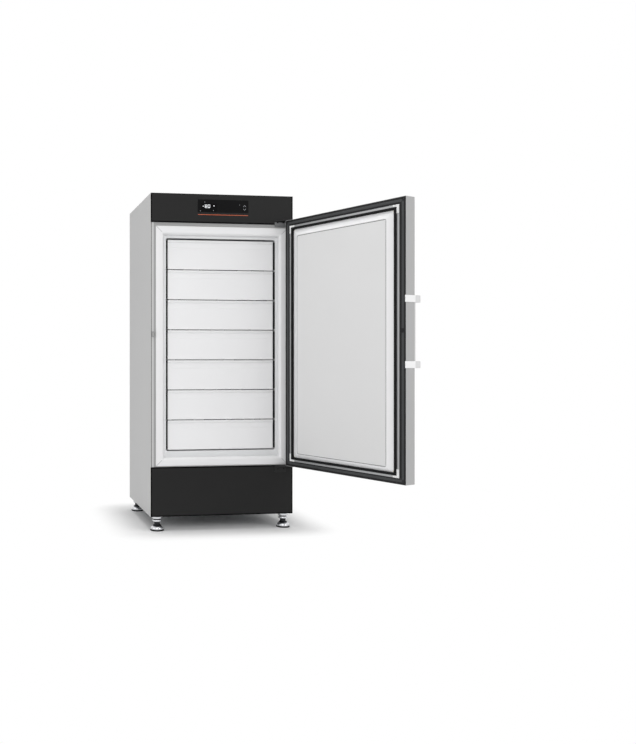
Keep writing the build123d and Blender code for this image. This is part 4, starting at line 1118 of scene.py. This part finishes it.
# Door gasket
# One loop of black silicone: a hollow bellows with two folds and a rounded nose that presses on
# the collar, pushed into the retainer by its foot.
gasket_black = "0e0e0f"
low, high = shut_box("door_gasket")
gasket_width = 0.013
rise = high[1] - low[1]
gasket_profile = rounded([
    (0.0005, low[1]),
    (0.0, low[1] + 0.15 * rise),
    (0.0022, low[1] + 0.30 * rise),
    (0.0, low[1] + 0.45 * rise),
    (0.0004, low[1] + 0.80 * rise),
    (0.0030, high[1]),
    (gasket_width - 0.003, high[1]),
    (gasket_width - 0.0004, low[1] + 0.80 * rise),
    (gasket_width, low[1] + 0.45 * rise),
    (gasket_width - 0.0022, low[1] + 0.30 * rise),
    (gasket_width, low[1] + 0.15 * rise),
    (gasket_width - 0.0005, low[1]),
    (0.0005, low[1]),
], 0.0018, 4)
gasket_rubber = moulded_plastic("black_silicone_gasket", gasket_black, 0.6, 0.1, 0.15)
points, faces = nested(gasket_profile, low, high, corner=0.004, steps=4, ends=(False, False))
gasket = piece("gasket_bellows", swung(points), faces, gasket_rubber, "door")
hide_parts("door_gasket")


# Door liner
# A white vacuum-formed border that slopes up to a raised field, less steeply at the sides and above
# than below. The field is a flat sheet of its own, coloured a shade darker than the border as
# painted shade, with a grey strip in the joint that is painted shade of the groove.
field_side = 0.038
field_top = 0.038
field_bottom = 0.022
field_groove = 0.0024
field_rise = 0.016
slope_start = 0.002
slope_margin = 0.0045
groove_floor = field_rise - field_groove
liner_plastic = moulded_plastic("white_ABS_liner_border", "eeeeef", roughness=0.36)
# The field's colour, a shade darker than the border's, is painted shade.
field_shade_plastic = moulded_plastic("white_ABS_liner_field_painted_shade", "dfdfdf", roughness=0.42)


def stacked(levels, steps=5):
    """Rounded rectangles joined one after the other: each level gives its left, right, bottom and
    top, how far back it lies, and the radius of its corners."""
    levels = np.asarray(levels, float)
    left, right, bottom, top, depth, radius = levels.T[:, :, None]
    turn = corner_turns(steps)
    ahead = np.repeat([1, 0, 0, 1], steps + 1)
    above = np.repeat([1, 1, 0, 0], steps + 1)
    x = ahead * (right - radius) + (1 - ahead) * (left + radius) + radius * np.cos(turn)
    z = above * (top - radius) + (1 - above) * (bottom + radius) + radius * np.sin(turn)
    points = np.stack([x, depth + 0 * turn, z], -1)
    faces = grid_faces(len(levels), len(turn))
    last = (len(levels) - 1) * len(turn)
    faces += [list(range(len(turn))), list(range(last, last + len(turn)))]
    return points, faces


low, high = shut_box("door_liner")
border = high[1] - field_rise
liner_steps = [
    (0.0, low[1] - border, 0.012),
    (0.0, -0.0008, 0.012),
    (0.0006, -0.0001, 0.0117),
    (0.002, 0.0004, 0.0115),
]
ramp = np.linspace(0, 1, 5)
rim = [(-0.0015, 0.0158), (0.0, field_rise), (0.0008, field_rise), (0.0014, groove_floor)]
rim += [(0.0050, groove_floor), (0.0056, 0.0158), (0.0070, field_rise)]
levels = [
    (low[0] + inset, high[0] - inset, low[2] + inset, high[2] - inset, border + rise, radius)
    for inset, rise, radius in liner_steps
]
levels += [
    (
        low[0] + slope_start + share * (field_side - slope_margin),
        high[0] - slope_start - share * (field_side - slope_margin),
        low[2] + slope_start + share * (field_bottom - slope_margin),
        high[2] - slope_start - share * (field_top - slope_margin),
        border + 0.0004 + 0.0150 * share,
        0.011,
    )
    for share in ramp[1:]
]
levels += [
    (
        low[0] + field_side + inset,
        high[0] - field_side - inset,
        low[2] + field_bottom + inset,
        high[2] - field_top - inset,
        border + rise,
        0.011,
    )
    for inset, rise in rim
]
points, faces = stacked(levels[:-2])
liner = piece("door_liner_border", swung(points), faces, liner_plastic, "door", crease=28)
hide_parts("door_liner")
field_levels = np.array(levels[-3:])
field_levels[0, 4] -= 0.0004
points, faces = stacked(field_levels)
field = piece("door_liner_field", swung(points), faces, field_shade_plastic, "door", crease=28)
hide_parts("door_liner")
# A grey strip laid in the groove round the field: painted shade of the groove's line.
groove_shade_floor = border + groove_floor
groove_shade_profile = [
    (0.0018, groove_shade_floor - 0.0002),
    (0.0018, groove_shade_floor + 0.0006),
    (0.0046, groove_shade_floor + 0.0006),
    (0.0046, groove_shade_floor - 0.0002),
    (0.0018, groove_shade_floor - 0.0002),
]
points, faces = nested(
    groove_shade_profile,
    (low[0] + field_side, 0, low[2] + field_bottom),
    (high[0] - field_side, 0, high[2] - field_top),
    corner=0.011,
    ends=(False, False),
)
groove_shade_plastic = moulded_plastic("grey_groove_painted_shade", "8e8f90", roughness=0.6, sheen=0.2)
piece("door_liner_groove_shade", swung(points), faces, groove_shade_plastic, "door")


# Handle
# White moulded covers over the end of the door, with a light grey lever that is hung on two
# clevis brackets. Pulling it drives the pushers in the covers against the cabinet.
cover_plastic = moulded_plastic("white_ABS_handle_cover", "fcfcfc", roughness=0.32)
bracket_plastic = moulded_plastic("light_grey_glass_filled_nylon", "e0e0e0", roughness=0.42)
dress(cover_plastic, "handle_covers")
dress(bracket_plastic, "handle_brackets", "handle_lever", "handle_pushers")
